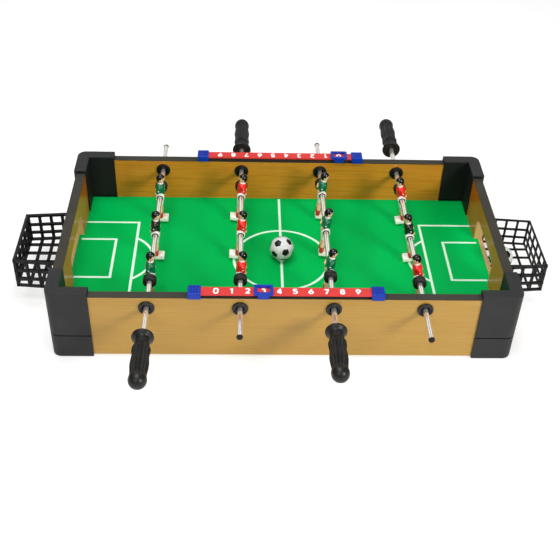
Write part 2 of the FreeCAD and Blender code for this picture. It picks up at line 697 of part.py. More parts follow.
def make_bracket():
    """Rail bracket at the right-hand end of the far rail."""
    block = box(BRACKET_INNER_X, BRACKET_OUTER_X, RAIL_Y - BRACKET_HALF_WIDTH, RAIL_Y + BRACKET_HALF_WIDTH,
                WALL_TOP_Z, BRACKET_TOP_Z)
    outer = [edge for edge in vertical_edges(block) if abs(edge.CenterOfMass.x - BRACKET_OUTER_X) < 1e-4]
    block = block.makeFillet(2.0, outer)
    block = block.makeFillet(1.2, edges_at_height(block, BRACKET_TOP_Z))
    pocket = box(BRACKET_INNER_X - 1, RAIL_HALF_LENGTH, RAIL_Y - RAIL_HALF_WIDTH, RAIL_Y + RAIL_HALF_WIDTH,
                 RAIL_BOTTOM_Z, RAIL_TOP_Z)
    counterbore = cylinder(SCREW_HEAD_RADIUS + 0.25, (BRACKET_SCREW_X, RAIL_Y, BRACKET_SCREW_SEAT_Z),
                           (BRACKET_SCREW_X, RAIL_Y, BRACKET_TOP_Z + 1))
    through = cylinder(SCREW_SHANK_RADIUS + 0.1, (BRACKET_SCREW_X, RAIL_Y, WALL_TOP_Z - 1),
                       (BRACKET_SCREW_X, RAIL_Y, BRACKET_SCREW_SEAT_Z + 1))
    return block.cut([pocket, counterbore, through])


def make_slider():
    """Pointer that straddles the rail, centred at X = 0 over the far rail."""
    plate = box(-SLIDER_HALF_LENGTH, SLIDER_HALF_LENGTH, RAIL_Y - SLIDER_HALF_WIDTH,
                RAIL_Y + SLIDER_HALF_WIDTH, RAIL_TOP_Z + SLIDER_CLEARANCE, SLIDER_TOP_Z)
    plate = plate.makeFillet(1.6, vertical_edges(plate))
    plate = plate.makeFillet(0.8, edges_at_height(plate, SLIDER_TOP_Z))
    window = box(-SLIDER_WINDOW_X, SLIDER_WINDOW_X, RAIL_Y - SLIDER_WINDOW_Y, RAIL_Y + SLIDER_WINDOW_Y,
                 RAIL_TOP_Z - 1, SLIDER_TOP_Z + 1)
    channel_half = RAIL_HALF_WIDTH + SLIDER_CLEARANCE
    legs = box(-SLIDER_LEG_HALF, SLIDER_LEG_HALF, RAIL_Y - SLIDER_HALF_WIDTH, RAIL_Y + SLIDER_HALF_WIDTH,
               SLIDER_LEG_BOTTOM_Z, SLIDER_TOP_Z - 1.0)
    channel = box(-20, 20, RAIL_Y - channel_half, RAIL_Y + channel_half,
                  RAIL_BOTTOM_Z - SLIDER_CLEARANCE, RAIL_TOP_Z + SLIDER_CLEARANCE)
    below = box(-20, 20, RAIL_Y - channel_half + 2.2, RAIL_Y + channel_half - 2.2,
                SLIDER_LEG_BOTTOM_Z - 1, RAIL_BOTTOM_Z)
    return plate.fuse(legs).removeSplitter().cut([window, channel, below])


def make_score_counters():
    rail = box(-RAIL_HALF_LENGTH, RAIL_HALF_LENGTH, RAIL_Y - RAIL_HALF_WIDTH, RAIL_Y + RAIL_HALF_WIDTH,
               RAIL_BOTTOM_Z, RAIL_TOP_Z)
    bracket = make_bracket()
    brackets = [bracket, mirror_x(bracket)]
    slider = make_slider()
    # digits run 0 to 9 away from the player's left hand on each side
    far_digit = -DIGIT_START
    near_digit = DIGIT_START + 3 * DIGIT_PITCH
    export("score_rail_far", rail)
    export("score_rail_near", mirror_y(rail))
    export("rail_brackets_far", brackets)
    export("rail_brackets_near", [mirror_y(shape) for shape in brackets])
    export("score_slider_far", slider.translated(V(far_digit, 0, 0)))
    export("score_slider_near", mirror_y(slider).translated(V(near_digit, 0, 0)))


# --------------------------------------------------------------------------
# Balls and screws
# --------------------------------------------------------------------------

def make_balls():
    pitch_z = PITCH_TOP_Z + BALL_REST_GAP + BALL_RADIUS
    floor_z = BASKET_BOTTOM_Z + BASKET_PANEL - 0.2 + BALL_REST_GAP + BALL_RADIUS
    export("ball_pitch", sphere(BALL_RADIUS, BALL_PITCH_CENTRE + (pitch_z,)))
    export("ball_spare", sphere(BALL_RADIUS, BALL_SPARE_CENTRE + (floor_z,)))


def make_screws():
    export("wood_screws", [screw(seat, direction) for seat, direction in SCREW_SEATS])


make_walls()
make_pitch()
make_corners()
make_bushings()
make_rods()
make_baskets()
make_score_counters()
make_balls()
make_screws()
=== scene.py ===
import math

import bmesh
import bpy
from mathutils import Euler, Matrix, Vector


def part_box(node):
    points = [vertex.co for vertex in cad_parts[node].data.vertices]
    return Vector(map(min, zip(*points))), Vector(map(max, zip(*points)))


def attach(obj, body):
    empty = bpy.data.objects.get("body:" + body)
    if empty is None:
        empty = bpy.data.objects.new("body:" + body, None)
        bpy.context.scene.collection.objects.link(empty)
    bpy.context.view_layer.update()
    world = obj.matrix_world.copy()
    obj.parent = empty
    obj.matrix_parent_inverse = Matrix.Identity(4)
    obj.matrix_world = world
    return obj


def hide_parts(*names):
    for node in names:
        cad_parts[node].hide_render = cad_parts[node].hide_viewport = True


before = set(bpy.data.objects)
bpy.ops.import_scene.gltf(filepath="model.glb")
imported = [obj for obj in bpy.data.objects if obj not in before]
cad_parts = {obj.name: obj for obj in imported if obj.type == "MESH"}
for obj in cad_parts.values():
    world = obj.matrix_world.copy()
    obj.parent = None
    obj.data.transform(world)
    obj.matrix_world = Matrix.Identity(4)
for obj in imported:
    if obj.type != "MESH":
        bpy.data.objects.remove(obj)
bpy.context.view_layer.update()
MM = 0.001
TAU = math.tau

# ---- Places read from the CAD ----


def cad_box(node):
    """Lowest and highest corner of a CAD node, in millimetres."""
    low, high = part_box(node)
    return Vector(low) / MM, Vector(high) / MM


def cad_centre(node):
    low, high = cad_box(node)
    return (low + high) / 2


FIGURE_LEANS = {1: 1.5, 2: -7.0, 3: 6.0, 4: 9.0}


def read_rod(rod):
    """Axis, middle, handle side and facing of a rod, with the lean of its figures in degrees."""
    centre = cad_centre("rod_%d" % rod)
    return {
        "x": centre.x,
        "z": centre.z,
        "middle": cad_centre("bumpers_%d" % rod).y,
        "side": -1 if cad_centre("handle_%d" % rod).y < 0 else 1,
        "facing": 1 if rod in (1, 3) else -1,
        "lean": FIGURE_LEANS[rod],
    }


PITCH_LOW, PITCH_HIGH = cad_box("pitch_board")
BALL_RADIUS = (cad_box("ball_pitch")[1].z - cad_box("ball_pitch")[0].z) / 2
RODS = {rod: read_rod(rod) for rod in range(1, 5)}
FIGURE_STEP = {"near": -76.5, "mid": 0.0, "far": 76.5}
SHIRTS = {
    1: {"near": "green", "mid": "black", "far": "green"},
    2: {"near": "red", "mid": "red", "far": "red"},
    3: {"near": "green", "mid": "green", "far": "green"},
    4: {"near": "red", "mid": "black", "far": "red"},
}

# ---- Node materials ----


NOISE_SPAN = (0.3, 0.7)
GRAIN_HEIGHT = 0.0001
WHITE = (1.0, 1.0, 1.0)


class Surface:
    """A node material built step by step."""

    def __init__(self, name):
        self.material = bpy.data.materials.new(name)
        self.material.use_nodes = True
        self.tree = self.material.node_tree
        self.shader = self.tree.nodes["Principled BSDF"]

    def node(self, kind, **inputs):
        """New node with some input values; an underscore stands for a space in an input's name."""
        made = self.tree.nodes.new(kind)
        for key, value in inputs.items():
            made.inputs[key.replace("_", " ")].default_value = value
        return made

    def link(self, source, target):
        self.tree.links.new(source, target)

    def set(self, **values):
        for key, value in values.items():
            self.shader.inputs[key.replace("_", " ")].default_value = value

    def place(self, scale=(1, 1, 1)):
        """Object coordinates in metres, scaled."""
        coords = self.node("ShaderNodeTexCoord")
        mapping = self.node("ShaderNodeMapping", Scale=scale)
        self.link(coords.outputs["Object"], mapping.inputs["Vector"])
        return mapping.outputs["Vector"]

    def noise(self, vector, scale, detail=4.0, rough=0.5, distort=0.0):
        made = self.node("ShaderNodeTexNoise", Scale=scale, Detail=detail, Roughness=rough,
                         Distortion=distort)
        self.link(vector, made.inputs["Vector"])
        return made.outputs["Fac"]

    def ramp(self, fac, low, high, stops=NOISE_SPAN):
        """Colour from low to high as fac goes from the first stop to the second."""
        made = self.node("ShaderNodeValToRGB")
        for element, position, colour in zip(made.color_ramp.elements, stops, (low, high)):
            element.position = position
            element.color = tuple(colour) + (1.0,)
        self.link(fac, made.inputs["Fac"])
        return made.outputs["Color"]

    def math(self, kind, a, b=None):
        made = self.node("ShaderNodeMath")
        made.operation = kind
        for index, value in enumerate((a, b)):
            if value is None:
                continue
            if isinstance(value, (int, float)):
                made.inputs[index].default_value = value
            else:
                self.link(value, made.inputs[index])
        return made.outputs["Value"]

    def mix(self, fac, a, b, kind="MIX"):
        made = self.node("ShaderNodeMix")
        made.data_type = "RGBA"
        made.blend_type = kind
        for index, value in ((0, fac), (6, a), (7, b)):
            if isinstance(value, (int, float)):
                made.inputs[index].default_value = value
            elif isinstance(value, tuple):
                made.inputs[index].default_value = value + (1.0,)
            else:
                self.link(value, made.inputs[index])
        return made.outputs[2]

    def colour(self, source):
        self.link(source, self.shader.inputs["Base Color"])

    def rough(self, noise, limits):
        """Roughness between two limits, following a noise."""
        low, high = limits
        made = self.node("ShaderNodeMapRange", From_Min=NOISE_SPAN[0], From_Max=NOISE_SPAN[1],
                         To_Min=low, To_Max=high)
        self.link(noise, made.inputs["Value"])
        self.link(made.outputs["Result"], self.shader.inputs["Roughness"])

    def bump(self, height, strength, distance=GRAIN_HEIGHT):
        made = self.node("ShaderNodeBump", Strength=strength, Distance=distance)
        self.link(height, made.inputs["Height"])
        self.link(made.outputs["Normal"], self.shader.inputs["Normal"])

    def axis(self, name):
        """One coordinate of the shared frame, in metres."""
        coords = self.node("ShaderNodeTexCoord")
        split = self.node("ShaderNodeSeparateXYZ")
        self.link(coords.outputs["Object"], split.inputs["Vector"])
        return split.outputs[name]

    def normal_axis(self, name):
        """One coordinate of the face's own direction."""
        geometry = self.node("ShaderNodeNewGeometry")
        split = self.node("ShaderNodeSeparateXYZ")
        self.link(geometry.outputs["True Normal"], split.inputs["Vector"])
        return split.outputs[name]


def srgb(red, green, blue):
    """Linear colour of an 8-bit display colour."""
    def linear(value):
        value /= 255.0
        return value / 12.92 if value <= 0.04045 else ((value + 0.055) / 1.055) ** 2.4
    return (linear(red), linear(green), linear(blue))


def shade(colour, factor):
    return tuple(channel * factor for channel in colour)


def plastic(name, colour, rough, grain=900.0, bump=0.1, wear=0.15, spec=0.5):
    """Moulded plastic: faint tone drift, fine surface grain and scuffed gloss."""
    s = Surface(name)
    place = s.place()
    drift = s.noise(place, 35.0, detail=3.0)
    s.colour(s.ramp(drift, shade(colour, 1.0 - wear), shade(colour, 1.0 + wear)))
    s.rough(s.noise(place, 140.0, detail=6.0, rough=0.65), rough)
    s.bump(s.noise(place, grain, detail=2.0), bump)
    s.set(Specular_IOR_Level=spec)
    return s


# For each grain direction: the axis across the wall, its inner face in metres and the colour of the painted
# shade that makes that face darker and warmer.
INNER_FACE_SHADE = {
    "X": ("Y", 0.1281, (1.32, 0.93, 0.42)),
    "Y": ("X", 0.2422, (1.22, 0.55, 0.1)),
}
OAK_LIGHT = (179, 141, 59)
OAK_MIDDLE = (170, 129, 50)
OAK_DARK = (151, 110, 37)
PORE_TINT = (0.72, 0.66, 0.56)
# Painted shade: the streaks are drawn darker on the faces turned to the pitch.
STREAK_SHADE_TINT = (0.72, 0.66, 0.5)


def wood(name, grain_axis):
    """Printed oak laminate, with painted shade that makes the faces turned to the pitch darker and warmer,
    with deeper streaks; the end walls also show raw board where the goal mouth is cut through them.
    """
    s = Surface(name)

    def along(run, across):
        return s.place(scale=(run, across, across) if grain_axis == "X" else (across, run, across))

    broad = s.noise(along(2.0, 16.0), 2.2, detail=4.0, rough=0.55, distort=0.8)
    streaks = s.noise(along(4.0, 110.0), 4.5, detail=6.0, rough=0.62, distort=0.15)
    pores = s.noise(along(12.0, 420.0), 5.0, detail=3.0, rough=0.6)
    cathedral = s.node("ShaderNodeTexWave", Scale=9.0, Distortion=7.0, Detail=3.0, Detail_Scale=1.2)
    cathedral.bands_direction = "Z"
    s.link(along(1.6, 14.0), cathedral.inputs["Vector"])
    light, middle, dark = srgb(*OAK_LIGHT), srgb(*OAK_MIDDLE), srgb(*OAK_DARK)
    tone = s.ramp(broad, middle, light)
    tone = s.mix(0.32, tone, s.ramp(streaks, dark, light, (0.34, 0.62)))
    tone = s.mix(0.16, tone, s.ramp(cathedral.outputs["Fac"], dark, light, (0.2, 0.75)))
    tone = s.mix(0.3, tone, s.ramp(pores, PORE_TINT, WHITE, (0.3, 0.46)), "MULTIPLY")
    if grain_axis == "Y":
        tone = raw_board(s, tone)
    # Painted shade: the faces turned to the pitch are multiplied by darker streaks and a warm colour,
    # standing in for the shade on them.
    across, inner_face, shade_tint = INNER_FACE_SHADE[grain_axis]
    shade_mask = s.math("LESS_THAN", s.math("ABSOLUTE", s.axis(across)), inner_face)
    figure = s.ramp(streaks, STREAK_SHADE_TINT, WHITE, (0.36, 0.52))
    shaded = s.mix(1.0, s.mix(0.55, tone, figure, "MULTIPLY"), shade_tint, "MULTIPLY")
    s.colour(s.mix(shade_mask, tone, shaded))
    s.rough(streaks, (0.3, 0.42))
    s.bump(streaks, 0.04)
    s.set(Specular_IOR_Level=0.35, Coat_Weight=0.25, Coat_Roughness=0.12)
    return s


# Corner mouldings, in metres: the seam over the foot and the limits of the faces turned to the pitch, both
# darkened with painted shade.
SEAM_Z = 0.0314
SEAM_HALF_HEIGHT = 0.0007
CORNER_INNER_X = 0.2415
CORNER_INNER_Y = 0.1274
CORNER_INNER_TOP = 0.0885
SEAM_SHADE = (0.0012, 0.0012, 0.0012)
CORNER_INNER_SHADE = (0.4, 0.4, 0.4)


def corner_plastic(name):
    """Matt charcoal moulding with painted shade: a near-black line in the seam over the foot and darker faces
    turned to the pitch.
    """
    s = plastic(name, srgb(44, 44, 45), (0.45, 0.6), grain=520.0, bump=0.14, wear=0.1, spec=0.18)
    tone = s.shader.inputs["Base Color"].links[0].from_socket
    height = s.axis("Z")
    # Painted shade: the seam over the foot is coloured near-black for the shadow in its gap.
    seam = s.math("COMPARE", height, SEAM_Z)
    seam.node.inputs[2].default_value = SEAM_HALF_HEIGHT
    # Painted shade: the low faces turned to the pitch are darkened.
    deep_x = s.math("LESS_THAN", s.math("ABSOLUTE", s.axis("X")), CORNER_INNER_X)
    deep_y = s.math("LESS_THAN", s.math("ABSOLUTE", s.axis("Y")), CORNER_INNER_Y)
    low = s.math("LESS_THAN", height, CORNER_INNER_TOP)
    inner = s.math("MULTIPLY", s.math("MULTIPLY", deep_x, deep_y), low)
    tone = s.mix(inner, tone, s.mix(1.0, tone, CORNER_INNER_SHADE, "MULTIPLY"))
    s.colour(s.mix(seam, tone, SEAM_SHADE))
    return s


def raw_board(s, tone):
    """Fibreboard colour on the faces of the end walls that do not look along X."""
    cut = s.math("LESS_THAN", s.math("ABSOLUTE", s.normal_axis("X")), 0.5)
    fibre = s.noise(s.place(), 420.0, detail=5.0, rough=0.7)
    return s.mix(cut, tone, s.ramp(fibre, srgb(180, 144, 86), srgb(210, 176, 116)))


def turf(name):
    """Green printed hardboard with a slight sheen."""
    s = Surface(name)
    place = s.place()
    broad = s.noise(place, 7.0, detail=3.0)
    fine = s.noise(place, 420.0, detail=6.0, rough=0.7)
    tone = s.ramp(broad, srgb(0, 160, 70), srgb(0, 176, 82))
    s.colour(s.mix(0.6, tone, s.ramp(fine, shade(WHITE, 0.9), WHITE, (0.35, 0.6)), "MULTIPLY"))
    s.rough(s.noise(place, 60.0, detail=5.0), (0.34, 0.46))
    s.bump(fine, 0.05)
    s.set(Specular_IOR_Level=0.03)
    return s


def metal(name, colour, rough, brush, metallic=1.0):
    """Bright metal with fine marks; a small brush factor draws them out along that axis."""
    s = Surface(name)
    lines = s.noise(s.place(scale=brush), 2600.0, detail=3.0, rough=0.6)
    s.colour(s.ramp(s.noise(s.place(), 60.0, detail=4.0), shade(colour, 0.92), colour))
    s.rough(lines, rough)
    s.bump(lines, 0.05, GRAIN_HEIGHT / 2)
    s.set(Metallic=metallic)
    return s


def paint(name, colour, rough=(0.22, 0.34), spread=0.08, spec=0.5):
    """Glossy toy paint, brushed on a little unevenly."""
    s = Surface(name)
    place = s.place()
    drift = s.noise(place, 260.0, detail=4.0, rough=0.6)
    s.colour(s.ramp(drift, shade(colour, 1.0 - spread), shade(colour, 1.0 + spread)))
    s.rough(s.noise(place, 700.0, detail=4.0), rough)
    s.bump(drift, 0.08)
    s.set(Specular_IOR_Level=spec)
    return s


def rubber(name, colour):
    """Dull black rubber with a fine, uneven surface."""
    s = Surface(name)
    place = s.place()
    s.colour(s.ramp(s.noise(place, 300.0, detail=4.0), shade(colour, 0.8), shade(colour, 1.3)))
    s.rough(s.noise(place, 180.0, detail=5.0), (0.5, 0.7))
    s.bump(s.noise(place, 2400.0, detail=3.0), 0.12)
    return s


SURFACES = {
    "wood_x": wood("oak_laminate_long", "X"),
    "wood_y": wood("oak_laminate_end", "Y"),
    "band": plastic("edge_band", srgb(57, 55, 48), (0.5, 0.65), grain=700.0, wear=0.1, spec=0.15),
    "turf": turf("pitch_green"),
    "line": paint("pitch_line_white", srgb(214, 244, 222), (0.4, 0.55), spread=0.03, spec=0.3),
    "corner": corner_plastic("corner_charcoal"),
    "black": plastic("black_moulding", srgb(20, 20, 21), (0.3, 0.42), spec=0.4),
    # Black plastic, coloured darker than the rings as painted shade for the holes around and inside the rods.
    "bushing": plastic("bushing_black_shaded", srgb(9, 9, 9), (0.4, 0.55), spec=0.25),
    "lattice": plastic("basket_black", srgb(15, 15, 16), (0.35, 0.5), spec=0.25),
    "grip": plastic("handle_gloss_black", srgb(22, 22, 21), (0.34, 0.46), grain=600.0, bump=0.08, spec=0.3),
    "rubber": rubber("bumper_rubber", srgb(12, 13, 11)),
    "chrome": metal("rod_chrome", (0.94, 0.91, 0.85), (0.17, 0.25), brush=(1.0, 0.03, 1.0), metallic=0.86),
    "zinc": metal("screw_zinc", (0.5, 0.51, 0.53), (0.25, 0.4), brush=(1.0, 1.0, 1.0)),
    "counter_red": plastic("counter_red", srgb(204, 54, 52), (0.32, 0.45), grain=700.0, bump=0.06,
                           wear=0.06, spec=0.3),
    "counter_blue": plastic("counter_blue", srgb(14, 52, 160), (0.26, 0.4), grain=700.0, bump=0.06,
                            wear=0.08, spec=0.25),
    "digit": paint("digit_white", srgb(250, 246, 240), (0.3, 0.45), spread=0.02),
    "shirt_green": paint("shirt_green", srgb(0, 104, 64)),
    "shirt_red": paint("shirt_red", srgb(230, 32, 24)),
    "shirt_black": paint("shirt_black", srgb(20, 26, 18)),
    "white": paint("figure_white", srgb(240, 238, 228), (0.25, 0.38), spread=0.03),
    "skin": paint("figure_skin", srgb(248, 200, 166), (0.3, 0.42), spread=0.05),
    "hair": paint("figure_hair", srgb(9, 9, 9), (0.12, 0.22), spread=0.2),
    "sock": paint("figure_sock", srgb(196, 46, 38), (0.3, 0.42), spread=0.06),
    "ball_white": plastic("ball_white", srgb(206, 208, 207), (0.22, 0.34), bump=0.05, wear=0.02),
    "ball_black": plastic("ball_black", srgb(16, 16, 18), (0.22, 0.34), bump=0.05, wear=0.1, spec=0.3),
}


def dress(node, key):
    """Give a carried-over CAD node its material."""
    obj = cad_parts[node]
    obj.data.materials.clear()
    obj.data.materials.append(SURFACES[key].material)


# ---- Mesh building ----


class Piece:
    """A mesh object collected from parts, in millimetres, each with its own material."""

    def __init__(self, name, slots):
        self.name = name
        self.slots = slots
        self.bm = bmesh.new()

    def quad_strip(self, rings, slot, smooth=True):
        """Skin between closed rings of points; slot is a material, or gives the one of band i."""
        loops = [[self.bm.verts.new(Vector(p) * MM) for p in ring] for ring in rings]
        count = len(loops[0])
        for i in range(len(loops) - 1):
            index = self.slots.index(slot(i) if callable(slot) else slot)
            for j in range(count):
                k = (j + 1) % count
                face = self.bm.faces.new((loops[i][j], loops[i][k], loops[i + 1][k], loops[i + 1][j]))
                face.material_index = index
                face.smooth = smooth
        return loops

    def cap(self, loop, slot, flip=False, smooth=False):
        face = self.bm.faces.new(list(reversed(loop)) if flip else loop)
        face.material_index = self.slots.index(slot)
        face.smooth = smooth

    def skin(self, rings, slot):
        """Smooth closed body through the rings."""
        loops = self.quad_strip(rings, slot)
        self.cap(loops[0], slot, flip=True, smooth=True)
        self.cap(loops[-1], slot, smooth=True)

    def block(self, low, high, slot, bevel=0.5, segments=2, place=None):
        """Box with rounded edges, moved by the matrix place (in millimetres) if one is given."""
        low = Vector(low)
        high = Vector(high)
        earlier = set(self.bm.faces)
        verts = bmesh.ops.create_cube(self.bm, size=1.0)["verts"]
        centre = (low + high) / 2
        size = high - low
        for vert in verts:
            point = centre + Vector((vert.co.x * size.x, vert.co.y * size.y, vert.co.z * size.z))
            vert.co = (place @ point if place is not None else point) * MM
        edges = list(dict.fromkeys(edge for vert in verts for edge in vert.link_edges))
        bmesh.ops.bevel(self.bm, geom=edges, offset=bevel * MM, segments=segments,
                        profile=0.5, affect="EDGES", clamp_overlap=True)
        for face in self.bm.faces:
            if face not in earlier:
                face.material_index = self.slots.index(slot)
                face.smooth = True

    def build(self, body, replaces=(), sharp=None):
        """Make the object; edges that bend by more than sharp degrees stay crisp."""
        bmesh.ops.recalc_face_normals(self.bm, faces=self.bm.faces)
        mesh = bpy.data.meshes.new(self.name)
        self.bm.to_mesh(mesh)
        self.bm.free()
        for key in self.slots:
            mesh.materials.append(SURFACES[key].material)
        obj = bpy.data.objects.new(self.name, mesh)
        bpy.context.scene.collection.objects.link(obj)
        if sharp is not None:
            mesh.set_sharp_from_angle(angle=math.radians(sharp))
        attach(obj, body)
        if replaces:
            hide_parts(*replaces)


def ellipse(centre, u, v, count, power=2.0):
    """Closed superellipse ring around centre, spanned by the half-axes u and v."""
    centre, u, v = Vector(centre), Vector(u), Vector(v)
    ring = []
    for i in range(count):
        angle = TAU * i / count
        c, s = math.cos(angle), math.sin(angle)
        a = math.copysign(abs(c) ** (2.0 / power), c)
        b = math.copysign(abs(s) ** (2.0 / power), s)
        ring.append(centre + u * a + v * b)
    return ring


def level(z, half_x, half_y, x=0.0, y=0.0, *, count, power):
    """Level superellipse ring at height z."""
    return ellipse((x, y, z), (half_x, 0, 0), (0, half_y, 0), count, power)


ROUND_END = ((0.85, 0.45), (0.45, 0.85))  # distance past the end point and ring size, in radii


def limb(points, radii, count=10):
    """Rings along a bent path, with rounded ends."""
    points = [Vector(p) for p in points]
    rings = []
    last = len(points) - 1
    for i, point in enumerate(points):
        ahead = points[min(i + 1, last)] - points[max(i - 1, 0)]
        ahead.normalize()
        side = ahead.cross(Vector((0, 1, 0)))
        if side.length < 0.1:
            side = ahead.cross(Vector((1, 0, 0)))
        side.normalize()
        up = side.cross(ahead)
        if i == 0:
            for back, scale in ROUND_END:
                rings.append(ellipse(point - ahead * radii[i] * back, side * radii[i] * scale,
                                     up * radii[i] * scale, count))
        rings.append(ellipse(point, side * radii[i], up * radii[i], count))
        if i == last:
            for front, scale in reversed(ROUND_END):
                rings.append(ellipse(point + ahead * radii[i] * front, side * radii[i] * scale,
                                     up * radii[i] * scale, count))
    return rings


def lathe_rings(profile, centre, count):
    """Rings about the line along Y through centre; profile holds (along, radius)."""
    rings = []
    for along, radius in profile:
        ring = []
        for i in range(count):
            angle = TAU * i / count
            offset = (radius * math.cos(angle), along, radius * math.sin(angle))
            ring.append(Vector(centre) + Vector(offset))
        rings.append(ring)
    return rings


# ---- Figures ----


HEAD_HALF_X = 4.6
HEAD_HALF_Y = 4.25
HEAD_HALF_Z = 5.6
JAW_TAPER = 0.55
HAIR_SWELL = 1.17
HAIR_SWELL_UP = 1.07
EAR_ROWS = ((0, 0.8), (1, 1.0), (2, 0.9), (3, 0.4))
EYE_ROWS = ((0, 0.9), (1, 1.0), (2, 0.75), (3, 0.35))


def add_head(piece, centre):
    """Rounded toy head facing +X: hair shell over a plain painted face."""
    rows = 20
    count = 24
    centre = Vector(centre)
    rings = []
    for i in range(1, rows):
        polar = math.pi * i / rows
        ring = []
        for j in range(count):
            angle = TAU * j / count
            x = math.sin(polar) * math.cos(angle)
            y = math.sin(polar) * math.sin(angle)
            z = math.cos(polar)
            front = max(0.0, x)
            radius_x = HEAD_HALF_X - JAW_TAPER * max(0.0, -z) * front
            swell, swell_up = (HAIR_SWELL, HAIR_SWELL_UP) if is_hair(x, y, z) else (1.0, 1.0)
            point = Vector((x * radius_x * swell, y * HEAD_HALF_Y * swell, z * HEAD_HALF_Z * swell_up))
            nose = math.exp(-((y / 0.16) ** 2 + ((z + 0.12) / 0.2) ** 2)) * front
            brow = math.exp(-((z - 0.22) / 0.12) ** 2) * front ** 3
            socket = math.exp(-(((abs(y) - 0.36) / 0.14) ** 2 + ((z - 0.06) / 0.13) ** 2)) * front
            chin = math.exp(-((y / 0.3) ** 2 + ((z + 0.72) / 0.2) ** 2)) * front
            point.x += 0.75 * nose + 0.18 * brow - 0.25 * socket + 0.5 * chin
            ring.append(centre + point)
        rings.append(ring)
    start = len(piece.bm.faces)
    loops = piece.quad_strip(rings, "skin")
    piece.cap(loops[0], "hair", flip=True, smooth=True)
    piece.cap(loops[-1], "skin", smooth=True)
    piece.bm.faces.ensure_lookup_table()
    for face in piece.bm.faces[start:]:
        local = face.calc_center_median() / MM - centre
        if is_hair(local.x / 4.8, local.y / 4.4, local.z / 5.7):
            face.material_index = piece.slots.index("hair")
    for side in (-1, 1):
        ear = [ellipse(centre + Vector((-0.3, side * (3.9 + 0.28 * k), -0.3)),
                       (0.85 * size, 0, 0), (0, 0, 1.25 * size), 10) for k, size in EAR_ROWS]
        piece.skin(ear, "skin")
        eye = [ellipse(centre + Vector((3.75 + 0.14 * k, side * 1.55, 0.45)),
                       (0, 0.42 * size, 0), (0, 0, 0.5 * size), 8) for k, size in EYE_ROWS]
        piece.skin(eye, "hair")


def is_hair(x, y, z):
    """Hair covers the crown, the sides above the ears and the nape."""
    hairline = 0.34 - 0.5 * max(0.0, -x - 0.05) - 0.28 * min(1.0, abs(y)) * (1.0 if x < 0.35 else 0.0)
    return z > hairline or (x < -0.35 and z > -0.62)


HUB_PROFILE = [(0.0, 4.95), (9.2, 4.95), (9.7, 4.95), (10.1, 4.9), (10.5, 4.65), (10.5, 4.05), (10.3, 3.9),
               (8.4, 3.85), (8.4, 3.02)]
# The hub bands after these form the groove and are coloured black as painted shade.
HUB_WHITE_BANDS = 5


def figure_mesh(piece):
    """One figure facing +X, rod axis along Y through the origin, in millimetres."""
    shirt = piece.slots[0]
    # shirt: hem, chest, shoulders
    body = [(0.6, 4.7, 7.0), (1.2, 5.3, 7.6), (2.6, 5.45, 7.75), (5.4, 5.2, 7.3), (8.6, 5.6, 7.5),
            (11.6, 5.4, 8.0), (13.4, 4.7, 7.8), (14.7, 3.7, 6.2), (15.5, 2.9, 4.2), (15.9, 2.4, 3.0)]
    piece.skin([level(z, hx, hy, count=20, power=2.5) for z, hx, hy in body], shirt)
    # collar and neck
    collar = [(15.0, 2.9, 3.3), (15.4, 3.5, 3.9), (16.2, 3.5, 3.8), (16.8, 2.9, 3.1), (16.4, 2.3, 2.5)]
    piece.skin([level(z, hx, hy, 0.2, count=16, power=2.1) for z, hx, hy in collar], "white")
    piece.skin([level(z, 2.3, 2.4, 0.2, count=12, power=2.0) for z in (14.8, 16.4, 18.4)], "skin")
    add_head(piece, (0.4, 0.0, 21.7))
    for side in (-1, 1):
        sleeve = [(-0.4, side * 7.2, 12.4), (-1.2, side * 8.1, 10.6), (-2.4, side * 8.2, 8.0),
                  (-3.0, side * 8.0, 6.4)]
        piece.skin(limb(sleeve, (2.2, 2.25, 2.2, 2.3)), shirt)
        arm = [(-2.8, side * 8.0, 6.9), (-3.9, side * 7.7, 5.4), (-4.7, side * 6.4, 3.6),
               (-5.1, side * 4.9, 2.6)]
        piece.skin(limb(arm, (1.8, 1.75, 1.6, 1.75)), "skin")
        # Painted highlight: a small raised white disc on each sleeve stands in for the glint on the glossy
        # sleeve.
        dot = [ellipse((-1.6, side * (10.25 + 0.1 * k), 9.2), (0.8 * size, 0, 0), (0, 0, 0.8 * size), 12)
               for k, size in ((-2, 1.0), (0, 1.0), (1, 0.85), (2, 0.4))]
        piece.skin(dot, "white")
    # shorts with two trouser legs
    trunk = [(-9.5, 3.9, 7.0), (-8.0, 4.3, 7.5), (-5.0, 4.7, 7.9), (-1.0, 4.95, 7.9), (2.2, 4.9, 7.5)]
    piece.skin([level(z, hx, hy, count=20, power=2.7) for z, hx, hy in trunk], "white")
    for side in (-1, 1):
        cuff = [(-13.4, 2.9, 3.0), (-13.8, 3.35, 3.3), (-13.0, 3.5, 3.4), (-9.0, 3.8, 3.6), (-6.5, 4.0, 3.7)]
        piece.skin([level(z, hx, hy, 0.1, side * 3.7, count=14, power=2.3) for z, hx, hy in cuff], "white")
        leg = [(-12.5, 2.75), (-16.0, 2.7), (-19.5, 2.45), (-23.0, 2.65), (-26.4, 2.4)]
        piece.skin([level(z, r, r, 0.0, side * 3.5, count=14, power=2.0) for z, r in leg], "skin")
        sock = [(-26.0, 2.5), (-26.3, 2.75), (-27.2, 2.8), (-30.0, 2.75), (-34.0, 2.6)]
        piece.skin([level(z, r, r, 0.0, side * 3.5, count=14, power=2.0) for z, r in sock], "sock")
    # boots, one block for both feet
    piece.block((-2.4, -5.4, -39.2), (9.4, 5.4, -33.4), "white", bevel=0.9, segments=3)
    # hub around the rod; the groove in each end is coloured black as painted shade for the gap around the rod
    for side in (-1, 1):
        rings = lathe_rings([(side * along, radius) for along, radius in HUB_PROFILE], (0, 0, 0), 28)
        piece.quad_strip(rings, lambda i: "white" if i < HUB_WHITE_BANDS else "hair")


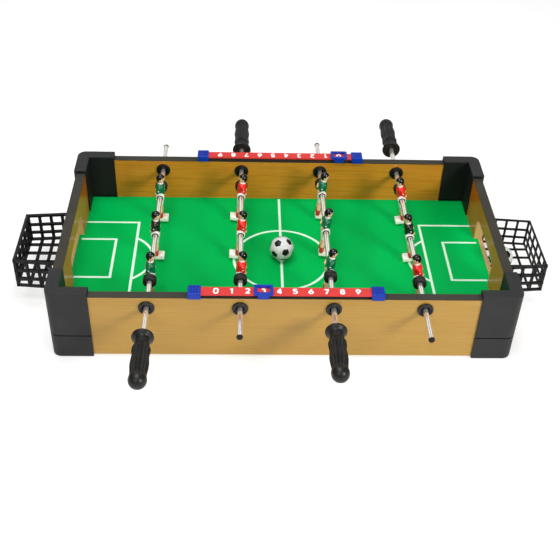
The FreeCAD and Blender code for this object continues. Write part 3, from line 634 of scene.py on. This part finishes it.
def make_figures():
    for rod, place in RODS.items():
        for name, step in FIGURE_STEP.items():
            shirt = "shirt_" + SHIRTS[rod][name]
            piece = Piece("figure_%d_%s" % (rod, name), [shirt, "white", "skin", "hair", "sock"])
            figure_mesh(piece)
            turn = Matrix.Identity(4)
            if place["facing"] < 0:
                turn = Matrix.Rotation(math.pi, 4, "Z")
            lean = Matrix.Rotation(math.radians(place["facing"] * place["lean"]), 4, "Y")
            move = Matrix.Translation(Vector((place["x"], place["middle"] + step, place["z"])) * MM)
            piece.bm.transform(move @ lean @ turn)
            piece.build("rod_%d_assembly" % rod, ["player_%d_%s" % (rod, name)],
                        sharp=50)


# ---- Handles, rods and bumpers ----

# (distance from the tip, radius): first the grip, as points of one smooth curve, then the flange.
HANDLE_GRIP = [(0.0, 0.0), (0.25, 2.2), (1.2, 4.7), (3.0, 7.0), (5.6, 8.7), (9.6, 9.6), (13.0, 9.1),
               (15.5, 8.75), (17.5, 8.65), (23.0, 9.2), (30.2, 9.85), (37.0, 9.4), (43.8, 8.95), (47.6, 9.4),
               (51.7, 9.85), (55.6, 9.0), (60.0, 7.6), (66.0, 7.6)]
HANDLE_FLANGE = [(67.4, 8.6), (68.6, 10.8), (69.4, 11.6), (70.4, 11.82), (71.6, 11.5), (72.3, 10.8),
                 (72.5, 9.8), (72.5, 3.05), (70.0, 3.05)]
HANDLE_STEP = 0.9
HANDLE_FLUTES = 18
HANDLE_SIDES = HANDLE_FLUTES * 8
FLUTE_START, FLUTE_FADE_IN = 14.0, 3.0
FLUTE_END, FLUTE_FADE_OUT = 60.0, 2.0
FLUTE_WIDTH = 1.15
FLUTE_POWER = 0.8
TIP_RADIUS = 0.02


def curve_through(points, step):
    """Catmull-Rom samples through (along, radius) points."""
    samples = []
    last = len(points) - 1
    for i in range(last):
        p0 = points[max(i - 1, 0)]
        p1, p2 = points[i], points[i + 1]
        p3 = points[min(i + 2, last)]
        length = math.hypot(p2[0] - p1[0], p2[1] - p1[1])
        pieces = max(1, int(length / step))
        for k in range(pieces):
            t = k / pieces
            samples.append(tuple(
                0.5 * (2 * p1[c] + (p2[c] - p0[c]) * t + (2 * p0[c] - 5 * p1[c] + 4 * p2[c] - p3[c]) * t * t
                       + (3 * p1[c] - p0[c] - 3 * p2[c] + p3[c]) * t ** 3) for c in (0, 1)))
    samples.append(points[last])
    return samples


def fluted(along, radius, angle):
    """Radius with lengthwise flutes, 1 mm deep, between the flange and the end ball."""
    fade_in = min(1.0, max(0.0, (along - FLUTE_START) / FLUTE_FADE_IN))
    fade_out = min(1.0, max(0.0, (FLUTE_END - along) / FLUTE_FADE_OUT))
    valley = min(1.0, FLUTE_WIDTH * (0.5 - 0.5 * math.cos(HANDLE_FLUTES * angle)))
    return radius - fade_in * fade_out * valley ** FLUTE_POWER


def make_handles():
    profile = curve_through(HANDLE_GRIP, HANDLE_STEP) + HANDLE_FLANGE
    for rod, place in RODS.items():
        low, high = cad_box("handle_%d" % rod)
        tip = low.y if place["side"] < 0 else high.y
        inward = -place["side"]
        rings = []
        for along, radius in profile:
            ring = []
            for i in range(HANDLE_SIDES):
                angle = TAU * i / HANDLE_SIDES
                r = fluted(along, max(radius, TIP_RADIUS), angle)
                ring.append(Vector((place["x"] + r * math.cos(angle), tip + inward * along,
                                    place["z"] + r * math.sin(angle))))
            rings.append(ring)
        piece = Piece("grip_%d" % rod, ["grip"])
        loops = piece.quad_strip(rings, "grip")
        piece.cap(loops[0], "grip", smooth=True)
        piece.build("rod_%d_assembly" % rod, ["handle_%d" % rod], sharp=50)


BUSHING_FLANGE = 2.5
BUSHING_PROFILE = [(4.0, 3.05), (4.0, 4.5), (0.5, 4.7), (0.0, 5.3), (0.0, 7.5), (0.12, 8.0), (0.45, 8.45),
                   (1.0, 8.65), (2.5, 8.65), (2.5, 4.85), (13.8, 4.85), (13.8, 4.45), (9.0, 4.35),
                   (9.0, 3.05), (4.0, 3.05)]


def make_bushings():
    """Flanged sleeves through the long walls, each with a deep clearance hole around the rod."""
    piece = Piece("sleeves", ["bushing"])
    for place in RODS.values():
        for side, node in ((-1, "wall_near"), (1, "wall_far")):
            low, high = cad_box(node)
            inner = min(abs(low.y), abs(high.y)) - BUSHING_FLANGE
            profile = [(side * (inner + along), radius) for along, radius in BUSHING_PROFILE]
            piece.quad_strip(lathe_rings(profile, (place["x"], 0, place["z"]), 40), "bushing")
    piece.build("cabinet", ["rod_bushings"], sharp=45)


ROD_RADIUS = 3.0
ROD_END_RADIUS = 2.75
ROD_BORE_RADIUS = 2.25
ROD_END_BREAK = 0.25


def make_shafts():
    """Rod tubes with slightly broken ends."""
    for rod, place in RODS.items():
        low, high = cad_box("rod_%d" % rod)
        length = high.y - low.y
        profile = [(0.0, ROD_BORE_RADIUS), (0.0, ROD_END_RADIUS), (ROD_END_BREAK, ROD_RADIUS),
                   (length / 3, ROD_RADIUS), (2 * length / 3, ROD_RADIUS),
                   (length - ROD_END_BREAK, ROD_RADIUS), (length, ROD_END_RADIUS), (length, ROD_BORE_RADIUS)]
        profile = [(low.y + along, radius) for along, radius in profile]
        piece = Piece("shaft_%d" % rod, ["chrome"])
        piece.quad_strip(lathe_rings(profile, (place["x"], 0, place["z"]), 40), "chrome")
        piece.build("rod_%d_assembly" % rod, ["rod_%d" % rod], sharp=40)


BUMPER_LENGTH = 8.3
BUMPER_BORE_RADIUS = 3.05
# (distance along the ring, radius as a share of the outer radius)
BUMPER_WAIST = [(0.0, 0.8), (0.25, 0.92), (0.9, 0.99), (2.6, 1.0), (3.1, 0.955), (4.15, 0.94), (5.2, 0.955),
                (5.7, 1.0), (7.4, 0.99), (8.05, 0.92), (BUMPER_LENGTH, 0.8)]


def make_bumpers():
    """Rubber rings with a shallow waist groove."""
    for rod, place in RODS.items():
        low, high = cad_box("bumpers_%d" % rod)
        outer = (high.x - low.x) / 2
        profile = [(0.0, BUMPER_BORE_RADIUS)] + [(along, share * outer) for along, share in BUMPER_WAIST]
        profile.append((BUMPER_LENGTH, BUMPER_BORE_RADIUS))
        piece = Piece("bumper_pair_%d" % rod, ["rubber"])
        for start in (low.y, high.y - BUMPER_LENGTH):
            rings = lathe_rings([(start + a, r) for a, r in profile], (place["x"], 0, place["z"]), 48)
            piece.quad_strip(rings, "rubber")
        piece.build("rod_%d_bumpers" % rod, ["bumpers_%d" % rod], sharp=40)


# ---- Balls ----


TIP_REACH = 1.2  # more than the distance between neighbouring tips of the icosahedron, less than the next
BALL_STEPS = 7
GROOVE_SINK = 0.985
SHOULDER_SINK = 0.998
PITCH_BALL_TURN = (139.5, -38.8, -172.5)
CATCHER_BALL_TURN = (-135.8, -37.3, 106.1)


def football_panels():
    """Corners of the 12 pentagons and 20 hexagons of a truncated icosahedron, on the unit sphere."""
    phi = (1 + 5 ** 0.5) / 2
    tips = []
    for a in (-1, 1):
        for b in (-phi, phi):
            tips += [Vector((0, a, b)), Vector((a, b, 0)), Vector((b, 0, a))]
    tips = [tip.normalized() for tip in tips]
    near = {i: [j for j in range(12) if j != i and (tips[i] - tips[j]).length < TIP_REACH]
            for i in range(12)}

    def ordered(centre, points):
        axis = centre.normalized()
        side = (points[0] - axis * points[0].dot(axis)).normalized()
        up = axis.cross(side)
        return sorted(points, key=lambda p: math.atan2(p.dot(up), p.dot(side)))

    panels = []
    for i, tip in enumerate(tips):
        corners = [(tip * 2 + tips[j]).normalized() for j in near[i]]
        panels.append(("ball_black", tip, ordered(tip, corners)))
    for i in range(12):
        for j in near[i]:
            for k in near[j]:
                if i < j < k and k in near[i]:
                    corners = []
                    for a, b in ((i, j), (j, i), (j, k), (k, j), (k, i), (i, k)):
                        corners.append((tips[a] * 2 + tips[b]).normalized())
                    centre = (tips[i] + tips[j] + tips[k]).normalized()
                    panels.append(("ball_white", centre, ordered(centre, corners)))
    return panels


def make_ball(name, node, body, turn):
    """Ball with a shallow groove between its panels; turn holds its rotation about X, Y and Z in degrees."""
    centre = cad_centre(node)
    turn = Euler([math.radians(angle) for angle in turn]).to_matrix()
    piece = Piece(name, ["ball_white", "ball_black"])
    steps = BALL_STEPS
    for slot, middle, corners in football_panels():
        count = len(corners)
        grid = {}
        for side in range(count):
            a, b = corners[side], corners[(side + 1) % count]
            for i in range(steps + 1):
                for j in range(steps + 1 - i):
                    inner = 1 - (i + j) / steps
                    point = (middle * inner + a * (i / steps) + b * (j / steps)).normalized()
                    if i + j == steps:
                        sink = GROOVE_SINK
                    elif i + j == steps - 1:
                        sink = SHOULDER_SINK
                    else:
                        sink = 1.0
                    grid[(side, i, j)] = centre + turn @ point * BALL_RADIUS * sink
        made = {}

        def vert(key):
            point = grid[key]
            label = tuple(round(c, 4) for c in point)
            if label not in made:
                made[label] = piece.bm.verts.new(point * MM)
            return made[label]

        for side in range(count):
            for i in range(steps):
                for j in range(steps - i):
                    faces = [((side, i, j), (side, i + 1, j), (side, i, j + 1))]
                    if i + j < steps - 1:
                        faces.append(((side, i + 1, j), (side, i + 1, j + 1), (side, i, j + 1)))
                    for keys in faces:
                        face = piece.bm.faces.new([vert(key) for key in keys])
                        face.material_index = piece.slots.index(slot)
                        face.smooth = True
    bmesh.ops.remove_doubles(piece.bm, verts=piece.bm.verts, dist=0.00001)
    piece.build(body, [node])


# ---- Ball catchers ----


CATCHER_HALF_OUTER = 44.5
CATCHER_HALF_WALL = 49.5
CATCHER_BAR = 2.8
CATCHER_PANEL = 2.0
CATCHER_RIM = 2.8
CATCHER_LINES_Y = (-33.0, -16.5, 0.0, 16.5, 33.0)
CATCHER_CELLS_X = 4
CATCHER_CELLS_Z = 3
TAB_THICKNESS = 1.8
TAB_REACH = 8.0
BAR_BEVEL = 0.45
RIM_BEVEL = 0.6


def make_basket(name, node, side):
    """Moulded lattice that widens to the wall, with rounded bars, a heavier rim and two screw tabs."""
    low, high = cad_box(node)
    wall = min(abs(low.x), abs(high.x))
    outer = max(abs(low.x), abs(high.x))
    front = outer - CATCHER_PANEL
    top, bottom = high.z, low.z
    floor = bottom + CATCHER_PANEL
    rim = top - CATCHER_RIM
    bar_top = top - 1.0
    bar = CATCHER_BAR
    depth = outer - wall
    piece = Piece(name, ["lattice"])
    mirror = Matrix.Scale(side, 4, Vector((1, 0, 0)))
    angle = math.atan2(CATCHER_HALF_WALL - CATCHER_HALF_OUTER, depth)

    def half_at(x):
        return CATCHER_HALF_WALL + (CATCHER_HALF_OUTER - CATCHER_HALF_WALL) * (x - wall) / depth

    def add(x0, x1, y0, y1, z0, z1, bevel=BAR_BEVEL, place=Matrix.Identity(4)):
        piece.block((x0, y0, z0), (x1, y1, z1), "lattice", bevel, 2, mirror @ place)

    x_lines = [wall + (depth - bar / 2) * i / CATCHER_CELLS_X for i in range(CATCHER_CELLS_X + 1)]
    z_lines = [bottom + (top - bottom - 3.0) * i / CATCHER_CELLS_Z for i in range(CATCHER_CELLS_Z)]
    for way in (-1, 1):
        corner = Matrix.Translation((wall, way * CATCHER_HALF_WALL, 0))
        swing = corner @ Matrix.Rotation(-way * angle, 4, "Z") @ Matrix.Scale(way, 4, Vector((0, 1, 0)))
        reach = depth / math.cos(angle) - 0.15
        add(0.2, reach, -CATCHER_PANEL, 0, rim, top, RIM_BEVEL, swing)
        for x in x_lines:
            start = max(x - wall - bar / 2, 0.2)
            add(start, min(start + bar, reach), -CATCHER_PANEL, 0, bottom, bar_top, place=swing)
        for z in z_lines:
            start = max(z - bar / 2, bottom)
            add(0.2, reach, -CATCHER_PANEL, 0, start, start + bar, place=swing)
        edge = sorted((way * (CATCHER_HALF_WALL - 1.0), way * (CATCHER_HALF_WALL + TAB_REACH)))
        add(wall, wall + TAB_THICKNESS, edge[0], edge[1], bottom + 3.0, top, 0.5)
    half = CATCHER_HALF_OUTER - 0.6
    add(front, outer, -half, half, rim, top, RIM_BEVEL)
    for z in z_lines:
        start = max(z - bar / 2, bottom)
        add(front, outer, -half, half, start, start + bar)
    for y in CATCHER_LINES_Y:
        add(front, outer, y - bar / 2, y + bar / 2, bottom, bar_top)
        add(wall, outer - 0.5, y - bar / 2, y + bar / 2, bottom, floor)
    for x in x_lines[:-1]:
        start = max(x - bar / 2, wall)
        reach = half_at(x + bar / 2) - 0.7
        add(start, start + bar, -reach, reach, bottom, floor)
    piece.build("cabinet", [node], sharp=50)


# ---- Pitch markings and digits ----


MITRE_LIMIT = 0.35
SAME_POINT = 1e-9


def ribbon(piece, path, width, z, thickness, closed=False):
    """Flat painted strip along a path of (x, y) points, in millimetres and in the piece's first material."""
    slot = piece.slots[0]
    points = [Vector((x, y)) for x, y in path]
    count = len(points)
    loops = []
    for i, point in enumerate(points):
        before = points[(i - 1) % count] if (closed or i > 0) else point
        after = points[(i + 1) % count] if (closed or i < count - 1) else point
        into = (point - before).normalized() if (point - before).length > SAME_POINT else None
        out = (after - point).normalized() if (after - point).length > SAME_POINT else None
        into = into or out
        out = out or into
        normal_a = Vector((-into.y, into.x))
        normal_b = Vector((-out.y, out.x))
        mitre = (normal_a + normal_b).normalized()
        reach = width / 2 / max(MITRE_LIMIT, mitre.dot(normal_a))
        left = point + mitre * reach
        right = point - mitre * reach
        loops.append([(left.x, left.y, z), (left.x, left.y, z + thickness),
                      (right.x, right.y, z + thickness), (right.x, right.y, z)])
    if closed:
        loops.append(loops[0])
    made = piece.quad_strip(loops, slot, smooth=False)
    if not closed:
        piece.cap(made[0], slot, flip=True)
        piece.cap(made[-1], slot)


def arc(cx, cy, radius, start, end, count):
    """Points of an arc; start and end are in degrees."""
    points = []
    for i in range(count + 1):
        angle = math.radians(start + (end - start) * i / count)
        points.append((cx + radius * math.cos(angle), cy + radius * math.sin(angle)))
    return points


# Pitch markings, in millimetres from the middle of the board.
LINE_WIDTH = 3.0
LINE_PAINT = 0.06
ARC_PAINT = 0.07
SPOT_PAINT = 0.08
SPOT_RADIUS = 2.2
SPOT_WIDTH = 4.0
HALF_WAY_LINE = 126.0
CIRCLE_RADIUS = 57.0
LARGE_BOX = (176.5, 71.5)
SMALL_BOX = (201.5, 36.5)
BOX_ARC_CENTRE = 200.0
BOX_ARC_RADIUS = 45.5
BOARD_UNDER_WALL = 5.9
SMALL_BOX_INTO_MOUTH = 2.0


def make_markings():
    """Half-way line, centre circle and spot, and a large box, small box and arc at each end."""
    z = PITCH_HIGH.z
    wall = -PITCH_LOW.x - BOARD_UNDER_WALL
    piece = Piece("pitch_markings", ["line"])
    ribbon(piece, [(0, -HALF_WAY_LINE), (0, HALF_WAY_LINE)], LINE_WIDTH, z, LINE_PAINT)
    ribbon(piece, arc(0, 0, CIRCLE_RADIUS, 0, 360, 96)[:-1], LINE_WIDTH, z, ARC_PAINT, closed=True)
    ribbon(piece, arc(0, 0, SPOT_RADIUS, 0, 360, 24)[:-1], SPOT_WIDTH, z, SPOT_PAINT, closed=True)
    for side in (-1, 1):
        for (reach, half), edge in ((LARGE_BOX, wall), (SMALL_BOX, wall + SMALL_BOX_INTO_MOUTH)):
            path = [(side * edge, -half), (side * reach, -half), (side * reach, half), (side * edge, half)]
            ribbon(piece, path, LINE_WIDTH, z, LINE_PAINT)
        swing = math.degrees(math.acos((BOX_ARC_CENTRE - LARGE_BOX[0]) / BOX_ARC_RADIUS))
        base = 180.0 if side > 0 else 0.0
        path = arc(side * BOX_ARC_CENTRE, 0, BOX_ARC_RADIUS, base - swing, base + swing, 40)
        ribbon(piece, path, LINE_WIDTH, z, ARC_PAINT)
    piece.build("cabinet")


DIGIT_STROKES = {
    0: [[("arc", 0, 1.9, 2.0, 0, 180), ("arc", 0, -1.9, 2.0, 180, 360), ("close",)]],
    1: [[("line", 0.4, 4.1), ("line", 0.4, -4.1)], [("line", -1.7, 2.3), ("line", 0.2, 3.4)]],
    2: [[("arc", 0, 1.9, 1.95, 165, -30), ("line", -1.6, -3.0)], [("line", -2.4, -3.3), ("line", 2.4, -3.3)]],
    3: [[("arc", -0.1, 1.75, 1.75, 150, -75)], [("arc", -0.1, -1.55, 1.95, 75, -150)]],
    4: [[("line", 1.0, 4.1), ("line", 1.0, -4.1)], [("line", -2.5, -1.6), ("line", 2.6, -1.6)],
        [("line", 0.6, 3.3), ("line", -2.1, -1.4)]],
    5: [[("line", -1.7, 3.3), ("line", 2.1, 3.3)], [("line", -1.5, 3.6), ("line", -1.6, 0.4)],
        [("arc", -0.1, -1.35, 2.1, 135, -150)]],
    6: [[("arc", 0, -1.35, 2.05, 0, 360), ("close",)], [("line", -1.75, -0.4), ("line", 1.1, 3.8)]],
    7: [[("line", -2.4, 3.3), ("line", 2.3, 3.3)], [("line", 1.7, 3.0), ("line", -0.8, -4.1)]],
    8: [[("arc", 0, 1.85, 1.6, 0, 360), ("close",)], [("arc", 0, -1.6, 1.95, 0, 360), ("close",)]],
    9: [[("arc", 0, 1.35, 2.05, 0, 360), ("close",)], [("line", 1.75, 0.4), ("line", -1.1, -3.8)]],
}


def digit_paths(digit):
    """(points, closed) strokes of a digit, drawn about its centre, in millimetres."""
    for stroke in DIGIT_STROKES[digit]:
        points = []
        closed = False
        for step in stroke:
            if step[0] == "line":
                points.append((step[1], step[2]))
            elif step[0] == "arc":
                _, cx, cy, radius, start, end = step
                sweep = arc(cx, cy, radius, start, end, max(4, int(abs(end - start) / 15)))
                points += sweep[:-1] if abs(end - start) >= 360 else sweep
            else:
                closed = True
        yield points, closed


DIGIT_PITCH = 16.75
DIGIT_START = -74.6
DIGIT_WIDTH = 1.75
DIGIT_PAINT = 0.05
STROKE_STEP = 0.01  # each stroke lies this much higher than the one before


def make_digits():
    """Score digits 0 to 9, printed along each rail to read from that side."""
    for name, side in (("near", -1), ("far", 1)):
        rail_low, rail_high = cad_box("score_rail_" + name)
        middle = (rail_low.y + rail_high.y) / 2
        piece = Piece("digits_" + name, ["digit"])
        facing = -side
        for digit in range(10):
            x = (DIGIT_START + DIGIT_PITCH * digit) * facing
            layer = 0.0
            for points, closed in digit_paths(digit):
                placed = [(x + px * facing, middle + py * facing) for px, py in points]
                ribbon(piece, placed, DIGIT_WIDTH, rail_high.z, DIGIT_PAINT + layer, closed)
                layer += STROKE_STEP
        piece.build("cabinet")


RAIL_OVERLAP = 2.6
BRACKET_SHORTER = 1.0
WAFFLE_COLUMNS, WAFFLE_ROWS = 4, 5
WAFFLE_BORDER = 0.8
WAFFLE_GAP = 0.3
WAFFLE_RISE = 0.6
WAFFLE_DEPTH = 1.0


def make_brackets():
    """Rail end blocks with a raised waffle pattern on top."""
    for name in ("near", "far"):
        node = "rail_brackets_" + name
        low, high = cad_box(node)
        rail = cad_box("score_rail_" + name)[1]
        inner, outer = rail.x - RAIL_OVERLAP, high.x - BRACKET_SHORTER
        pitch_x = (outer - inner - 2 * WAFFLE_BORDER) / WAFFLE_COLUMNS
        pitch_y = (high.y - low.y - 2 * WAFFLE_BORDER) / WAFFLE_ROWS
        piece = Piece("blocks_" + name, ["counter_blue"])
        for side in (-1, 1):
            start, end = sorted((side * inner, side * outer))
            piece.block((start, low.y, low.z), (end, high.y, high.z - WAFFLE_RISE), "counter_blue", 1.0, 3)
            for i in range(WAFFLE_COLUMNS):
                for j in range(WAFFLE_ROWS):
                    x = start + WAFFLE_BORDER + pitch_x * i
                    y = low.y + WAFFLE_BORDER + pitch_y * j
                    piece.block((x + WAFFLE_GAP, y + WAFFLE_GAP, high.z - WAFFLE_DEPTH),
                                (x + pitch_x - WAFFLE_GAP, y + pitch_y - WAFFLE_GAP, high.z),
                                "counter_blue", 0.25, 1)
        piece.build("cabinet", [node], sharp=50)


# ---- Materials for the CAD nodes that stay ----


def dress_cad():
    """Give every CAD node that no piece replaces its material."""
    keys = {"wall_near": "wood_x", "wall_far": "wood_x", "wall_left": "wood_y", "wall_right": "wood_y",
            "wall_top_bands": "band", "pitch_board": "turf", "bushing_rings": "black",
            "wood_screws": "zinc"}
    for near_far in ("near", "far"):
        keys["score_rail_" + near_far] = "counter_red"
        keys["score_slider_" + near_far] = "counter_blue"
        for left_right in ("left", "right"):
            keys["cap_%s_%s" % (near_far, left_right)] = "corner"
            keys["foot_%s_%s" % (near_far, left_right)] = "corner"
    for rod in RODS:
        # Painted shade: the end plugs take the darker sleeve black to read as the shaded hole in the tube.
        keys["end_plug_%d" % rod] = "bushing"
        keys["player_pins_%d" % rod] = "zinc"
    for node, key in keys.items():
        dress(node, key)


# ---- Floor, light and camera ----


FLOOR_HALF = 6.0
FLOOR_DROP = 0.0002
FLOOR_GLOW = 0.55


def make_floor():
    """Pale floor just under the feet, with a slight glow of its own that keeps it near white."""
    bm = bmesh.new()
    bmesh.ops.create_grid(bm, x_segments=8, y_segments=8, size=FLOOR_HALF)
    mesh = bpy.data.meshes.new("floor")
    bm.to_mesh(mesh)
    bm.free()
    s = Surface("floor_pale")
    s.colour(s.ramp(s.noise(s.place(), 3.0, detail=3.0), shade(WHITE, 0.5), shade(WHITE, 0.54)))
    s.set(Roughness=0.9, Specular_IOR_Level=0.1, Emission_Color=WHITE + (1.0,), Emission_Strength=FLOOR_GLOW)
    mesh.materials.append(s.material)
    floor = bpy.data.objects.new("floor", mesh)
    floor.location.z = -FLOOR_DROP
    bpy.context.scene.collection.objects.link(floor)


# (height of the direction, brightness)
SKY = ((0.05, 0.03), (0.85, 0.32))
# name: place, target, width and height in metres; power in watts; colour
LIGHTS = {
    "key": ((1.25, -1.35, 1.0), (0.0, 0.0, 0.05), (0.55, 0.55), 26.5, (1.0, 0.985, 0.96)),
    "fill": ((-0.5, -1.2, 1.1), (0.0, 0.0, 0.05), (0.8, 0.8), 7.0, WHITE),
    "panel_0": ((-0.82, 1.5, 0.97), (-0.5, 0.0, 0.1), (1.2, 1.05), 3.2, WHITE),
    "panel_2": ((0.82, 1.5, 0.97), (0.5, 0.0, 0.1), (1.2, 1.05), 3.2, WHITE),
    "top": ((-0.2, -0.05, 1.25), (-0.04, -0.02, 0.05), (0.8, 0.6), 10.0, WHITE),
}


def area_light(name, place, target, size, power, colour):
    data = bpy.data.lights.new(name, "AREA")
    data.shape = "RECTANGLE"
    data.size, data.size_y = size
    data.energy = power
    data.color = colour
    light = bpy.data.objects.new(name, data)
    light.location = place
    light.rotation_euler = (Vector(target) - Vector(place)).to_track_quat("-Z", "Y").to_euler()
    bpy.context.scene.collection.objects.link(light)


def make_lights():
    """A sky that brightens upwards, a key from the front right, a fill, two panels behind and a top light."""
    world = bpy.data.worlds.new("studio")
    world.use_nodes = True
    tree = world.node_tree
    background = tree.nodes["Background"]
    coords = tree.nodes.new("ShaderNodeTexCoord")
    split = tree.nodes.new("ShaderNodeSeparateXYZ")
    ramp = tree.nodes.new("ShaderNodeValToRGB")
    for element, (height, brightness) in zip(ramp.color_ramp.elements, SKY):
        element.position = height
        element.color = (brightness, brightness, brightness, 1.0)
    tree.links.new(coords.outputs["Generated"], split.inputs["Vector"])
    tree.links.new(split.outputs["Z"], ramp.inputs["Fac"])
    tree.links.new(ramp.outputs["Color"], background.inputs["Color"])
    background.inputs["Strength"].default_value = 1.0
    scene = bpy.context.scene
    scene.world = world
    scene.view_settings.view_transform = "Standard"
    for name, settings in LIGHTS.items():
        area_light(name, *settings)


CAMERA_PLACE = (-0.04718, -0.90141, 0.74633)
CAMERA_ANGLES = (2.96, 39.71, 2.38)  # turn to the right, look down and roll, in degrees
SENSOR_WIDTH = 36.0
FOCAL_RATIO = 1.7076071428571428  # focal length over sensor width


def make_camera():
    yaw, pitch, roll = (math.radians(angle) for angle in CAMERA_ANGLES)
    ahead = Vector((math.sin(yaw) * math.cos(pitch), math.cos(yaw) * math.cos(pitch), -math.sin(pitch)))
    right = Vector((math.cos(yaw), -math.sin(yaw), 0))
    up = right.cross(ahead)
    rolled_right = right * math.cos(roll) + up * math.sin(roll)
    rolled_up = up * math.cos(roll) - right * math.sin(roll)
    data = bpy.data.cameras.new("camera")
    data.sensor_width = SENSOR_WIDTH
    data.lens = FOCAL_RATIO * SENSOR_WIDTH
    data.clip_start = 0.01
    camera = bpy.data.objects.new("camera", data)
    basis = Matrix((rolled_right, rolled_up, -ahead)).transposed().to_4x4()
    camera.matrix_world = Matrix.Translation(Vector(CAMERA_PLACE)) @ basis
    bpy.context.scene.collection.objects.link(camera)
    bpy.context.scene.camera = camera


make_camera()
make_lights()
make_floor()
dress_cad()
make_figures()
make_handles()
make_shafts()
make_bushings()
make_bumpers()
make_ball("ball_on_pitch", "ball_pitch", "ball_on_pitch", PITCH_BALL_TURN)
make_ball("ball_in_basket", "ball_spare", "ball_in_basket", CATCHER_BALL_TURN)
make_basket("catcher_left", "basket_left", -1)
make_basket("catcher_right", "basket_right", 1)
make_markings()
make_digits()
make_brackets()
